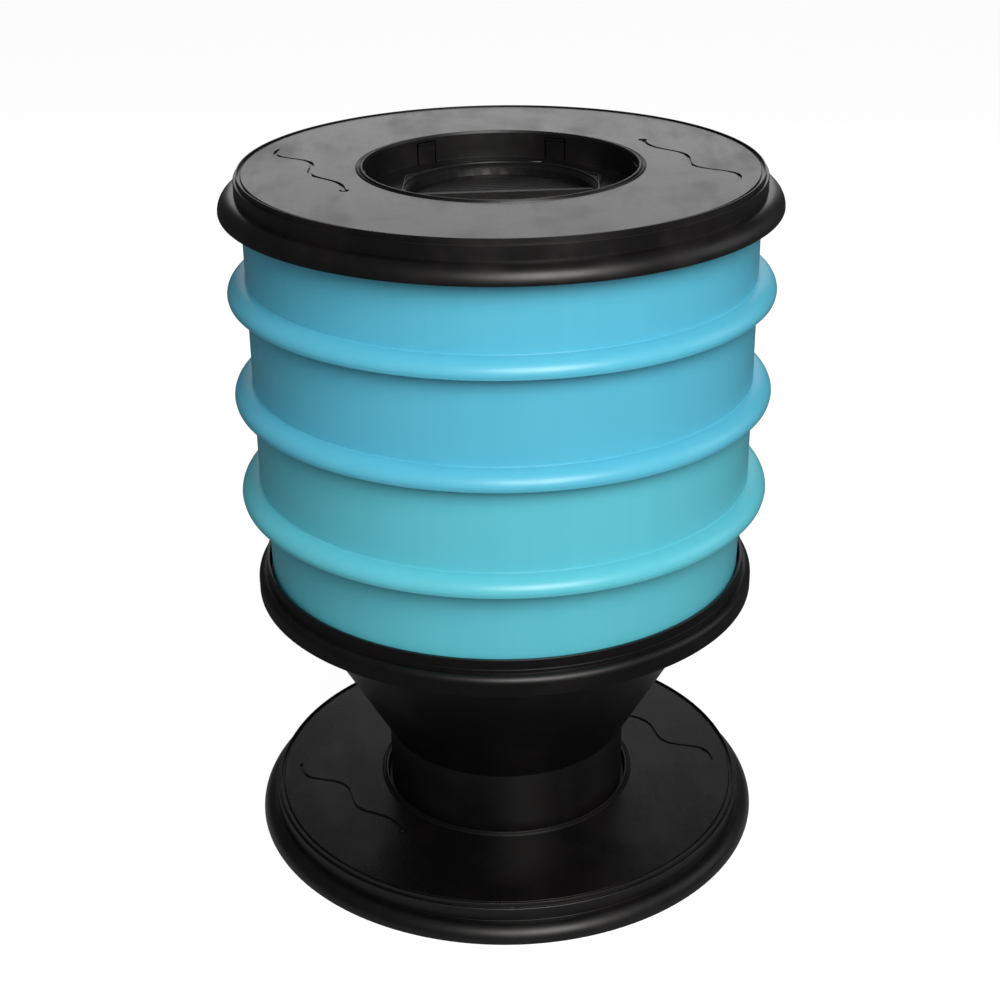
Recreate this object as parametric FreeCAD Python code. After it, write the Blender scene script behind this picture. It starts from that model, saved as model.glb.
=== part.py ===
"""A round stacking wormery: a disc for a foot, a funnel that collects the liquid, three trays and a lid.

Millimetres, +Z up. The origin is the centre of the foot, on the ground. The lid and the foot are one
and the same moulding. Each node is one piece as it would lie on a bench.
"""

import FreeCAD, Part

import math
import os

# Walls and fits that several mouldings share
WALL = 2.5
FLOOR_WALL = 2.5
LID_FIT = 1.3
NEST_FIT = 1.5
REST_FIT = 0.3

# Trays: a straight body, a skirt over the tray below, and a narrower part that nests in it
TRAY_NAMES = ("tray_bottom", "tray_middle", "tray_top")
TRAY_RADIUS = 184.0
TRAY_BODY_HEIGHT = 77.1
NEST_END_GAP = 0.6
TRAY_NEST_DRAFT = 1.2
SKIRT_REACH = 13.5
SKIRT_LEDGE = 1.0
SKIRT_HEIGHT = 16.0
SKIRT_DROP = 3.0
SKIRT_LIP = 3.0
SKIRT_LIP_TAPER = 0.6
SLOT_WIDTH = 6.0
SLOT_LENGTH = 22.0
SLOT_FROM_CENTRE = 29.0
SLOT_FROM_WALL = 17.3
SLOT_RING_COUNT = 4
SLOT_FIRST_COUNT = 10
SLOT_ADDED_COUNT = 8

# Disc moulding, the foot and the lid alike, from its bottom edge up
DISC_LIP_HEIGHT = 1.0
DISC_LIP_TAPER = 0.3
DISC_FLARE = 11.5
DISC_LEDGE = 0.7
DISC_WALL_HEIGHT = 10.1
DISC_BAND_HEIGHT = 3.8
DISC_BAND_STEP = 1.1
DISC_RIM_WIDTH = 1.4
DISC_RIM_BEVEL = 0.4
DISC_RIM_RISE = 0.9
DISC_GROOVE_WIDTH = 2.2
DISC_GROOVE_DEPTH = 1.2
DISC_PLATE = 2.6
DISC_RIB_COUNT = 12
DISC_RIB_FIRST_ANGLE = 15.0
DISC_RIB_WIDTH = 2.2
DISC_RIB_HEIGHT = 6.0
DISC_RIB_SETBACK = 5.0
DISC_SEAT_HEIGHT = 2.3
FOOT_TURN = 197.0

# Recess in the middle of the disc, with a raised double ring round its mouth
RECESS_DEPTH = 19.9
RECESS_RING_WIDTH = 7.2
RECESS_RING_STEP = 0.7
RECESS_LIP_WIDTH = 1.9
RECESS_LIP_RISE = 1.2
RECESS_BEVEL = 0.5

# Snap fingers in the wall of the recess
FINGER_COUNT = 6
FINGER_FIRST_ANGLE = 5.0
FINGER_WIDTH = 14.5
FINGER_SLIT = 1.2
FINGER_TOP_GAP = 2.0
HOOK_REACH = 1.6
HOOK_HEIGHT = 2.8
HOOK_LAND = 1.0

# Wavy engraved lines on the disc, two of them, each with a round dot at its head
WAVE_COUNT = 2
WAVE_TAIL_INSET = 18.4
WAVE_TAIL_ANGLE = 162.8
WAVE_HEAD_INSET = 63.0
WAVE_HEAD_ANGLE = 212.6
WAVE_PERIODS = 2
WAVE_SWING = 8.5
WAVE_FADE = 0.65
WAVE_WIDTH = 2.8
WAVE_DEPTH = 0.9
WAVE_POINTS = 17
DOT_RADIUS = 3.4

# Vent cap in the recess of the lid: an eight-sided rim round a slotted well with a bar across
CAP_WELL_RADIUS = 65.4
CAP_WALL = 2.2
CAP_FIT = 0.4
CAP_CORNER_COUNT = 8
CAP_SIDE_OVERHANG = 3.0
CAP_CORNER_REACH = 7.4
CAP_RIM_HEIGHT = 3.0
CAP_RIM_WIDTH = 1.8
CAP_DEPTH = 7.0
CAP_FLOOR = 2.0
CAP_BAR_WIDTH = 4.0
CAP_BAR_HEIGHT = 4.6
CAP_SLOT_WIDTH = 1.8
CAP_SLOT_PITCH = 4.5
CAP_SLOT_MARGIN = 4.0
CAP_RIM_ANGLE = -1.5
CAP_BAR_ANGLE = 5.0

# Collector: a hollow neck that stands in the recess, a cone, and a rim with a shelf for the lowest tray
NECK_RADIUS = 94.1
NECK_GAP = 2.9
NECK_HEIGHT = 70.3
NECK_BEAD_FIT = 0.6
NECK_BEAD_BEVEL = 1.0
CONE_STEP = 1.4
CONE_HEIGHT = 137.1
BOWL_OVERHANG = 12.3
COLLECTOR_FLOOR = 2.8
BOWL_RIM_HEIGHT = 13.7
BOWL_LEDGE_DROP = 7.5
BOWL_LEDGE = 0.7
BOWL_RIM_FIT = 1.0
BOWL_SKIRT_REACH = 6.5
BOWL_SKIRT_HEIGHT = 16.2
BOWL_SKIRT_ROUND = 25.5
BOWL_SKIRT_LIP = 1.3

# Strainer that lies across the cone above the tap
STRAINER_HEIGHT = 47.0
STRAINER_PLATE = 2.5
STRAINER_SLOT_WIDTH = 3.0
STRAINER_SLOT_LENGTH = 18.0
STRAINER_SLOT_FROM_CENTRE = 25.0
STRAINER_SLOT_FROM_WALL = 15.0
STRAINER_RING_COUNT = 3
STRAINER_FIRST_COUNT = 8
STRAINER_ADDED_COUNT = 8
STRAINER_KNOB_RADIUS = 7.0
STRAINER_KNOB_HEIGHT = 12.0

# Drain tap on a flat boss at the back of the cone
TAP_HEIGHT = 27.0
BOSS_WALL = 3.0
BOSS_PROUD = 13.0
BOSS_FACE = 3.5
TAP_BORE = 6.0
SHANK_WALL = 4.2
SHANK_FIT = 0.3
SHANK_PAST_NUT = 2.5
SEAL_THICKNESS = 2.0
SEAL_WIDTH = 4.3
TAP_FLANGE = 3.5
TAP_FLANGE_REACH = 1.5
NUT_SIDE_COUNT = 6
NUT_CORNER_REACH = 4.3
NUT_ROOM = 2.5
NUT_THICKNESS = 5.5
BARREL_WALL = 3.0
VALVE_REACH = 24.0
VALVE_WALL = 3.6
VALVE_TOP = 13.0
VALVE_BOTTOM = 13.0
PLUG_RADIUS = 7.4
PLUG_FIT = 0.05
PLUG_PORT = 4.5
PLUG_SHOULDER = 1.5
SPOUT_BORE = 5.5
SPOUT_WALL = 2.5
SPOUT_LENGTH = 14.0
HEAD_SETBACK = 0.5
HEAD_HEIGHT = 3.0
LEVER_LENGTH = 42.0
LEVER_ROOT = 13.0
LEVER_TIP = 9.0
LEVER_THICKNESS = 4.5
RING_SECTION = 1.6
RING_DROP = 3.0

# Radii that follow from the sizes above
TRAY_MOUTH = TRAY_RADIUS - WALL
NEST_RADIUS = TRAY_MOUTH - NEST_FIT
NEST_FOOT_RADIUS = NEST_RADIUS - TRAY_NEST_DRAFT
SKIRT_RADIUS = TRAY_RADIUS + SKIRT_REACH
DISC_WALL_INNER = TRAY_RADIUS + LID_FIT
DISC_WALL_RADIUS = DISC_WALL_INNER + WALL
DISC_RADIUS = DISC_WALL_RADIUS + DISC_LEDGE + DISC_FLARE
RECESS_RADIUS = NECK_RADIUS + NECK_GAP
CAP_SPIGOT_RADIUS = CAP_WELL_RADIUS + CAP_WALL
CAP_HOLE_RADIUS = CAP_SPIGOT_RADIUS + CAP_FIT
CAP_SIDE_RADIUS = CAP_SPIGOT_RADIUS + CAP_SIDE_OVERHANG
CAP_CORNER_RADIUS = CAP_SIDE_RADIUS + CAP_CORNER_REACH
BOWL_MOUTH = NEST_RADIUS + BOWL_RIM_FIT
BOWL_RIM_RADIUS = BOWL_MOUTH + WALL
CONE_FOOT_RADIUS = NECK_RADIUS + CONE_STEP
CONE_TOP_RADIUS = BOWL_RIM_RADIUS - BOWL_OVERHANG
CONE_SLOPE = (CONE_TOP_RADIUS - CONE_FOOT_RADIUS) / CONE_HEIGHT
CONE_WALL_ACROSS = WALL * math.hypot(1.0, CONE_SLOPE)
SHANK_RADIUS = TAP_BORE + SHANK_WALL
SHANK_HOLE_RADIUS = SHANK_RADIUS + SHANK_FIT
SEAL_RADIUS = SHANK_RADIUS + SEAL_WIDTH
TAP_FLANGE_RADIUS = SEAL_RADIUS + TAP_FLANGE_REACH
NUT_CORNER_RADIUS = SHANK_RADIUS + NUT_CORNER_REACH
BOSS_POCKET_RADIUS = NUT_CORNER_RADIUS + NUT_ROOM
BOSS_RADIUS = BOSS_POCKET_RADIUS + BOSS_WALL
BARREL_RADIUS = TAP_BORE + BARREL_WALL
VALVE_RADIUS = PLUG_RADIUS + VALVE_WALL
HEAD_RADIUS = VALVE_RADIUS - HEAD_SETBACK
SPOUT_RADIUS = SPOUT_BORE + SPOUT_WALL

# Heights in the disc's own frame
DISC_LEDGE_Z = DISC_LIP_HEIGHT + DISC_FLARE
DISC_BAND_Z = DISC_LEDGE_Z + DISC_WALL_HEIGHT
DISC_RIM_Z = DISC_BAND_Z + DISC_BAND_HEIGHT
DISC_TOP_Z = DISC_RIM_Z - DISC_RIM_RISE
DISC_UNDER_Z = DISC_TOP_Z - DISC_PLATE
DISC_SEAT_Z = DISC_UNDER_Z - DISC_SEAT_HEIGHT
RECESS_FLOOR_Z = DISC_TOP_Z + RECESS_RING_STEP - RECESS_DEPTH
HOOK_UNDER_Z = DISC_TOP_Z - FINGER_TOP_GAP - HOOK_HEIGHT

# Heights in the assembly
NECK_TOP_Z = RECESS_FLOOR_Z + NECK_HEIGHT
COLLECTOR_FLOOR_Z = NECK_TOP_Z + COLLECTOR_FLOOR
SHELF_UNDER_Z = NECK_TOP_Z + CONE_HEIGHT
SHELF_Z = SHELF_UNDER_Z + FLOOR_WALL
BOWL_RIM_Z = SHELF_Z + BOWL_RIM_HEIGHT
TRAY_NEST_DEPTH = TRAY_BODY_HEIGHT - WALL - NEST_END_GAP
FIRST_SHOULDER_Z = SHELF_Z + TRAY_NEST_DEPTH
LID_Z = FIRST_SHOULDER_Z + len(TRAY_NAMES) * TRAY_BODY_HEIGHT - DISC_SEAT_Z
STRAINER_Z = NECK_TOP_Z + STRAINER_HEIGHT
TAP_Z = NECK_TOP_Z + TAP_HEIGHT

ORIGIN = FreeCAD.Vector(0, 0, 0)
UP = FreeCAD.Vector(0, 0, 1)
BACK = FreeCAD.Vector(0, 1, 0)
LEFT = FreeCAD.Vector(-1, 0, 0)
FULL_TURN = 360.0

# How far out, as a share of the radius, a point halfway round a quarter of a circle lies
HALFWAY = math.sqrt(0.5)


def cone_radius(z):
    """Outer radius of the collector's cone at a height in the assembly."""
    return CONE_FOOT_RADIUS + CONE_SLOPE * (z - NECK_TOP_Z)


def on_circle(radius, degrees, height=0):
    """A point at a distance and direction from the Z axis."""
    angle = math.radians(degrees)
    return FreeCAD.Vector(radius * math.cos(angle), radius * math.sin(angle), height)


def copies_round(shape, count, first_angle=0):
    """Copies of a shape at equal steps about the Z axis."""
    return [turn_z(shape, first_angle + FULL_TURN * index / count) for index in range(count)]


class Section:
    """Half a cross-section, drawn as radius and height from edge to edge, then turned about the Z axis."""

    def __init__(self, radius, height):
        self.start = FreeCAD.Vector(radius, 0, height)
        self.end = self.start
        self.edges = []

    def line(self, radius, height):
        """A straight edge to a point."""
        point = FreeCAD.Vector(radius, 0, height)
        self.edges.append(Part.LineSegment(self.end, point).toShape())
        self.end = point
        return self

    def round(self, centre_radius, centre_height, radius, height):
        """A round edge to a point, bulging away from a centre."""
        point = FreeCAD.Vector(radius, 0, height)
        centre = FreeCAD.Vector(centre_radius, 0, centre_height)
        chord_middle = (self.end + point) / 2
        outward = (chord_middle - centre).normalize()
        middle = centre + outward * (point - centre).Length
        self.edges.append(Part.Arc(self.end, middle, point).toShape())
        self.end = point
        return self

    def turned(self):
        """The solid of revolution."""
        self.line(self.start.x, self.start.z)
        face = Part.Face(Part.Wire(self.edges))
        return face.revolve(ORIGIN, UP, FULL_TURN)


def turn_z(shape, degrees):
    """A copy of a shape, turned about the Z axis."""
    turned = shape.copy()
    turned.rotate(ORIGIN, UP, degrees)
    return turned


def raised(shape, height):
    """A copy of a shape, moved up."""
    moved = shape.copy()
    moved.translate(UP * height)
    return moved


def radial_box(inner, outer, width, low, high):
    """A box that runs outward along +X between two radii."""
    corner = FreeCAD.Vector(inner, -width / 2, low)
    return Part.makeBox(outer - inner, width, high - low, corner)


def tube_along(radius, start, length, direction):
    """A round bar from a point in a direction."""
    return Part.makeCylinder(radius, length, start, direction)


def slot_rings(width, length, inner, outer, rings, first_count, added, low, high):
    """Radial slots in rings between two radii, each ring with more slots than the one inside it."""
    step = (outer - inner - length) / (rings - 1)
    slots = []
    for ring in range(rings):
        start = inner + ring * step
        slot = radial_box(start, start + length, width, low, high)
        slots += copies_round(slot, first_count + ring * added)
    return slots


def disc_shell():
    """The turned body of the disc: flare, wall, band, rim, groove, plate, double ring, recess and floor."""
    lip_radius = DISC_RADIUS - DISC_LIP_TAPER
    band_radius = DISC_WALL_RADIUS - DISC_BAND_STEP
    groove_outer = band_radius - DISC_RIM_WIDTH
    groove_inner = groove_outer - DISC_GROOVE_WIDTH
    ring_radius = RECESS_RADIUS + RECESS_RING_WIDTH
    ring_z = DISC_TOP_Z + RECESS_RING_STEP
    lip_top_z = DISC_TOP_Z + RECESS_LIP_RISE
    flare_centre = DISC_RADIUS - DISC_FLARE
    inner_flare = DISC_FLARE - WALL
    half_flare = inner_flare * HALFWAY
    section = Section(lip_radius - WALL, 0)
    section.line(lip_radius, 0)
    section.line(DISC_RADIUS, DISC_LIP_HEIGHT)
    section.round(flare_centre, DISC_LIP_HEIGHT, flare_centre, DISC_LEDGE_Z)
    section.line(DISC_WALL_RADIUS, DISC_LEDGE_Z)
    section.line(DISC_WALL_RADIUS, DISC_BAND_Z - DISC_RIM_BEVEL)
    section.line(DISC_WALL_RADIUS - DISC_RIM_BEVEL, DISC_BAND_Z)
    section.line(band_radius, DISC_BAND_Z)
    section.line(band_radius, DISC_RIM_Z - DISC_RIM_BEVEL)
    section.line(band_radius - DISC_RIM_BEVEL, DISC_RIM_Z)
    section.line(groove_outer + DISC_RIM_BEVEL, DISC_RIM_Z)
    section.line(groove_outer, DISC_TOP_Z - DISC_GROOVE_DEPTH)
    section.line(groove_inner + DISC_RIM_BEVEL, DISC_TOP_Z - DISC_GROOVE_DEPTH)
    section.line(groove_inner, DISC_TOP_Z)
    section.line(ring_radius, DISC_TOP_Z)
    section.line(ring_radius - RECESS_BEVEL, ring_z)
    section.line(RECESS_RADIUS + RECESS_LIP_WIDTH, ring_z)
    section.line(RECESS_RADIUS + RECESS_LIP_WIDTH - RECESS_BEVEL, lip_top_z)
    section.line(RECESS_RADIUS + RECESS_BEVEL, lip_top_z)
    section.line(RECESS_RADIUS, lip_top_z - RECESS_BEVEL)
    section.line(RECESS_RADIUS, RECESS_FLOOR_Z)
    section.line(CAP_HOLE_RADIUS, RECESS_FLOOR_Z)
    section.line(CAP_HOLE_RADIUS, RECESS_FLOOR_Z - FLOOR_WALL)
    section.line(RECESS_RADIUS + WALL, RECESS_FLOOR_Z - FLOOR_WALL)
    section.line(RECESS_RADIUS + WALL, DISC_UNDER_Z)
    section.line(DISC_WALL_INNER, DISC_UNDER_Z)
    section.line(DISC_WALL_INNER, DISC_LEDGE_Z - WALL)
    section.line(flare_centre, DISC_LEDGE_Z - WALL)
    section.line(flare_centre + half_flare, DISC_LIP_HEIGHT + half_flare)
    section.line(DISC_RADIUS - WALL, DISC_LIP_HEIGHT)
    return section.turned()


def wave_outline():
    """The closed outline of one wavy line, from its tail to its head."""
    tail = on_circle(DISC_WALL_RADIUS - WAVE_TAIL_INSET, WAVE_TAIL_ANGLE, DISC_TOP_Z)
    head = on_circle(DISC_WALL_RADIUS - WAVE_HEAD_INSET, WAVE_HEAD_ANGLE, DISC_TOP_Z)
    along = (head - tail).normalize()
    across = along.cross(UP)
    reach = (head - tail).Length
    left = []
    right = []
    for index in range(WAVE_POINTS):
        share = index / (WAVE_POINTS - 1)
        swing = WAVE_SWING * (1 - WAVE_FADE * share) * math.sin(2 * math.pi * WAVE_PERIODS * share)
        middle = tail + along * (reach * share) + across * swing
        left.append(middle + across * (WAVE_WIDTH / 2))
        right.append(middle - across * (WAVE_WIDTH / 2))
    right.reverse()
    sides = []
    for points in (left, right):
        curve = Part.BSplineCurve()
        curve.interpolate(points)
        sides.append(curve.toShape())
    ends = [Part.LineSegment(left[-1], right[0]).toShape(), Part.LineSegment(right[-1], left[0]).toShape()]
    return Part.Wire([sides[0], ends[0], sides[1], ends[1]])


def wave_cutters():
    """What is cut from the plate for the wavy lines and their dots."""
    down = UP * (-WAVE_DEPTH)
    line = Part.Face(wave_outline()).extrude(down)
    head = on_circle(DISC_WALL_RADIUS - WAVE_HEAD_INSET, WAVE_HEAD_ANGLE, DISC_TOP_Z - WAVE_DEPTH)
    dot = tube_along(DOT_RADIUS, head, WAVE_DEPTH, UP)
    return copies_round(line.fuse(dot), WAVE_COUNT)


def finger_slits():
    """Three thin slits round each snap finger, so that it bends at its foot."""
    inner = RECESS_RADIUS - HOOK_REACH
    outer = RECESS_RADIUS + WALL + HOOK_REACH
    top = DISC_UNDER_Z
    side = radial_box(inner, outer, FINGER_SLIT, RECESS_FLOOR_Z, top)
    offset = (FINGER_WIDTH + FINGER_SLIT) / 2
    left = side.copy()
    left.translate(BACK * offset)
    right = side.copy()
    right.translate(BACK * -offset)
    head = radial_box(inner, outer, FINGER_WIDTH + 2 * FINGER_SLIT, top - FINGER_SLIT, top)
    return copies_round(left.fuse([right, head]), FINGER_COUNT, FINGER_FIRST_ANGLE)


def finger_hooks():
    """The hooks on the snap fingers: flat below, to hold the bead, and sloped above, to let it in."""
    root = RECESS_RADIUS + WALL / 2
    tip = RECESS_RADIUS - HOOK_REACH
    corners = [
        (root, HOOK_UNDER_Z),
        (tip, HOOK_UNDER_Z),
        (tip, HOOK_UNDER_Z + HOOK_LAND),
        (root, HOOK_UNDER_Z + HOOK_HEIGHT - FINGER_SLIT),
    ]
    points = [FreeCAD.Vector(radius, -FINGER_WIDTH / 2, height) for radius, height in corners]
    face = Part.Face(Part.makePolygon(points + points[:1]))
    hook = face.extrude(BACK * FINGER_WIDTH)
    return copies_round(hook, FINGER_COUNT, FINGER_FIRST_ANGLE)


def disc_ribs():
    """Radial ribs under the plate. Their outer ends are shallow: they are the seats for a tray's edge."""
    inner = RECESS_RADIUS + WALL / 2
    outer = TRAY_MOUTH - DISC_RIB_SETBACK
    root = DISC_UNDER_Z + DISC_PLATE / 2
    rib = radial_box(inner, outer, DISC_RIB_WIDTH, DISC_UNDER_Z - DISC_RIB_HEIGHT, root)
    seat = radial_box(outer, DISC_WALL_INNER + DISC_BAND_STEP, DISC_RIB_WIDTH, DISC_SEAT_Z, root)
    return copies_round(rib.fuse(seat), DISC_RIB_COUNT, DISC_RIB_FIRST_ANGLE)


def disc_moulding():
    """The disc that serves as the foot and as the lid, standing on its bottom edge."""
    shell = disc_shell().fuse(disc_ribs())
    shell = shell.cut(finger_slits() + wave_cutters())
    return shell.fuse(finger_hooks()).removeSplitter()


def cap_rim():
    """The solid outline of the vent cap's rim: hollow sides between blunt corners."""
    step = FULL_TURN / CAP_CORNER_COUNT
    edges = []
    for index in range(CAP_CORNER_COUNT):
        side_angle = CAP_RIM_ANGLE + index * step
        first = on_circle(CAP_CORNER_RADIUS, side_angle - step / 2, RECESS_FLOOR_Z)
        inward = on_circle(CAP_SIDE_RADIUS, side_angle, RECESS_FLOOR_Z)
        last = on_circle(CAP_CORNER_RADIUS, side_angle + step / 2, RECESS_FLOOR_Z)
        edges.append(Part.Arc(first, inward, last).toShape())
    return Part.Face(Part.Wire(edges)).extrude(UP * CAP_RIM_HEIGHT)


def vent_cap():
    """The eight-sided cap in the recess of the lid, in the disc's own frame."""
    rim_z = RECESS_FLOOR_Z + CAP_RIM_HEIGHT
    bottom_z = RECESS_FLOOR_Z - CAP_DEPTH
    spigot = tube_along(CAP_SPIGOT_RADIUS, UP * bottom_z, CAP_DEPTH, UP)
    funnel = Section(0, bottom_z + CAP_FLOOR)
    funnel.line(CAP_WELL_RADIUS, bottom_z + CAP_FLOOR)
    funnel.line(CAP_WELL_RADIUS, RECESS_FLOOR_Z)
    funnel.line(CAP_SIDE_RADIUS - CAP_RIM_WIDTH, rim_z)
    funnel.line(0, rim_z)
    body = cap_rim().fuse(spigot).cut(funnel.turned())
    bar_z = bottom_z + CAP_FLOOR
    bar_reach = CAP_WELL_RADIUS + CAP_WALL / 2
    bar = radial_box(-bar_reach, bar_reach, CAP_BAR_WIDTH, bar_z, bar_z + CAP_BAR_HEIGHT)
    bar = turn_z(bar, CAP_BAR_ANGLE)
    slots = []
    reach = CAP_WELL_RADIUS - CAP_SLOT_MARGIN
    slot_count = int(reach / CAP_SLOT_PITCH)
    for index in range(1, slot_count):
        offset = index * CAP_SLOT_PITCH
        half = math.sqrt(reach * reach - offset * offset)
        slot = radial_box(-half, half, CAP_SLOT_WIDTH, bottom_z, bottom_z + CAP_FLOOR)
        for side in (1, -1):
            placed = slot.copy()
            placed.translate(BACK * (side * offset))
            slots.append(turn_z(placed, CAP_BAR_ANGLE))
    return body.fuse(bar).cut(slots)


def tray():
    """One tray. Its own zero is the shoulder, which rests on the edge of the tray below."""
    ledge_radius = TRAY_RADIUS + SKIRT_LEDGE
    widest_z = -SKIRT_DROP
    ledge_z = widest_z + SKIRT_HEIGHT
    reach = SKIRT_RADIUS - ledge_radius
    flare = (reach * reach + SKIRT_HEIGHT * SKIRT_HEIGHT) / (2 * reach)
    flare_centre = SKIRT_RADIUS - flare
    inner_flare = flare - WALL
    half_flare = inner_flare * HALFWAY
    inner_rise = math.sqrt(inner_flare ** 2 - (TRAY_RADIUS - flare_centre) ** 2)
    lip_z = widest_z - SKIRT_LIP
    floor_z = -TRAY_NEST_DEPTH
    section = Section(0, floor_z)
    section.line(NEST_FOOT_RADIUS, floor_z)
    section.line(NEST_RADIUS, 0)
    section.line(TRAY_RADIUS, 0)
    section.line(TRAY_RADIUS, widest_z + inner_rise)
    section.line(flare_centre + half_flare, widest_z + half_flare)
    section.line(SKIRT_RADIUS - WALL, widest_z)
    section.line(SKIRT_RADIUS - SKIRT_LIP_TAPER - WALL, lip_z)
    section.line(SKIRT_RADIUS - SKIRT_LIP_TAPER, lip_z)
    section.line(SKIRT_RADIUS, widest_z)
    section.round(flare_centre, widest_z, ledge_radius, ledge_z)
    section.line(TRAY_RADIUS, ledge_z)
    section.line(TRAY_RADIUS, TRAY_BODY_HEIGHT)
    section.line(TRAY_MOUTH, TRAY_BODY_HEIGHT)
    section.line(TRAY_MOUTH, WALL)
    section.line(NEST_RADIUS - WALL, WALL)
    section.line(NEST_FOOT_RADIUS - WALL, floor_z + FLOOR_WALL)
    section.line(0, floor_z + FLOOR_WALL)
    slots = slot_rings(
        SLOT_WIDTH, SLOT_LENGTH, SLOT_FROM_CENTRE, NEST_FOOT_RADIUS - WALL - SLOT_FROM_WALL,
        SLOT_RING_COUNT, SLOT_FIRST_COUNT, SLOT_ADDED_COUNT, floor_z, floor_z + FLOOR_WALL,
    )
    return section.turned().cut(slots)


def collector_shell():
    """The turned body of the collector: neck with its bead, floor, cone, shelf, rim and skirt."""
    bead_top_z = HOOK_UNDER_Z - REST_FIT
    bead_radius = RECESS_RADIUS - NECK_BEAD_FIT
    neck_inner = NECK_RADIUS - WALL
    ledge_z = BOWL_RIM_Z - BOWL_LEDGE_DROP
    ledge_radius = BOWL_RIM_RADIUS + BOWL_LEDGE
    skirt_radius = BOWL_RIM_RADIUS + BOWL_SKIRT_REACH
    skirt_z = ledge_z - BOWL_SKIRT_HEIGHT
    floor_radius = cone_radius(COLLECTOR_FLOOR_Z) - CONE_WALL_ACROSS
    section = Section(neck_inner, RECESS_FLOOR_Z)
    section.line(bead_radius - NECK_BEAD_BEVEL, RECESS_FLOOR_Z)
    section.line(bead_radius, RECESS_FLOOR_Z + NECK_BEAD_BEVEL)
    section.line(bead_radius, bead_top_z)
    section.line(NECK_RADIUS, bead_top_z)
    section.line(NECK_RADIUS, NECK_TOP_Z - CONE_STEP)
    section.line(CONE_FOOT_RADIUS, NECK_TOP_Z)
    section.line(CONE_TOP_RADIUS, SHELF_UNDER_Z)
    section.line(BOWL_RIM_RADIUS, SHELF_UNDER_Z)
    section.line(BOWL_RIM_RADIUS, ledge_z - WALL)
    section.line(skirt_radius - WALL, skirt_z)
    section.line(skirt_radius - WALL, skirt_z - BOWL_SKIRT_LIP)
    section.line(skirt_radius, skirt_z - BOWL_SKIRT_LIP)
    section.line(skirt_radius, skirt_z)
    section.round(skirt_radius - BOWL_SKIRT_ROUND, skirt_z, ledge_radius, ledge_z)
    section.line(BOWL_RIM_RADIUS, ledge_z)
    section.line(BOWL_RIM_RADIUS, BOWL_RIM_Z)
    section.line(BOWL_MOUTH, BOWL_RIM_Z)
    section.line(BOWL_MOUTH, SHELF_Z)
    section.line(cone_radius(SHELF_Z) - CONE_WALL_ACROSS, SHELF_Z)
    section.line(floor_radius, COLLECTOR_FLOOR_Z)
    section.line(0, COLLECTOR_FLOOR_Z)
    section.line(0, NECK_TOP_Z)
    section.line(neck_inner, NECK_TOP_Z)
    return section.turned()


def boss_face_y():
    """How far back the flat face of the tap boss lies."""
    return cone_radius(TAP_Z) + BOSS_PROUD


def collector():
    """The collector with its flat boss for the tap, hollow from within and drilled through."""
    face_y = boss_face_y()
    start = FreeCAD.Vector(0, NECK_RADIUS - WALL, TAP_Z)
    boss = tube_along(BOSS_RADIUS, start, face_y - start.y, BACK)
    pocket = tube_along(BOSS_POCKET_RADIUS, start, face_y - BOSS_FACE - start.y, BACK)
    hole = tube_along(SHANK_HOLE_RADIUS, start, face_y - start.y, BACK)
    inside = Section(0, COLLECTOR_FLOOR_Z)
    inside.line(cone_radius(COLLECTOR_FLOOR_Z) - CONE_WALL_ACROSS, COLLECTOR_FLOOR_Z)
    inside.line(cone_radius(SHELF_UNDER_Z) - CONE_WALL_ACROSS, SHELF_UNDER_Z)
    inside.line(0, SHELF_UNDER_Z)
    proud = boss.cut(inside.turned())
    return collector_shell().fuse(proud).cut([pocket, hole])


def strainer():
    """A slotted plate across the cone, bevelled like the wall it lies on, with a small knob to lift it."""
    low = cone_radius(STRAINER_Z) - CONE_WALL_ACROSS - REST_FIT
    high = low + CONE_SLOPE * STRAINER_PLATE
    top_z = STRAINER_Z + STRAINER_PLATE
    section = Section(0, STRAINER_Z)
    section.line(low, STRAINER_Z)
    section.line(high, top_z)
    section.line(STRAINER_KNOB_RADIUS, top_z)
    section.line(STRAINER_KNOB_RADIUS, top_z + STRAINER_KNOB_HEIGHT)
    section.line(0, top_z + STRAINER_KNOB_HEIGHT)
    slots = slot_rings(
        STRAINER_SLOT_WIDTH, STRAINER_SLOT_LENGTH, STRAINER_SLOT_FROM_CENTRE,
        low - STRAINER_SLOT_FROM_WALL, STRAINER_RING_COUNT, STRAINER_FIRST_COUNT,
        STRAINER_ADDED_COUNT, STRAINER_Z, top_z,
    )
    return section.turned().cut(slots)


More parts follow.
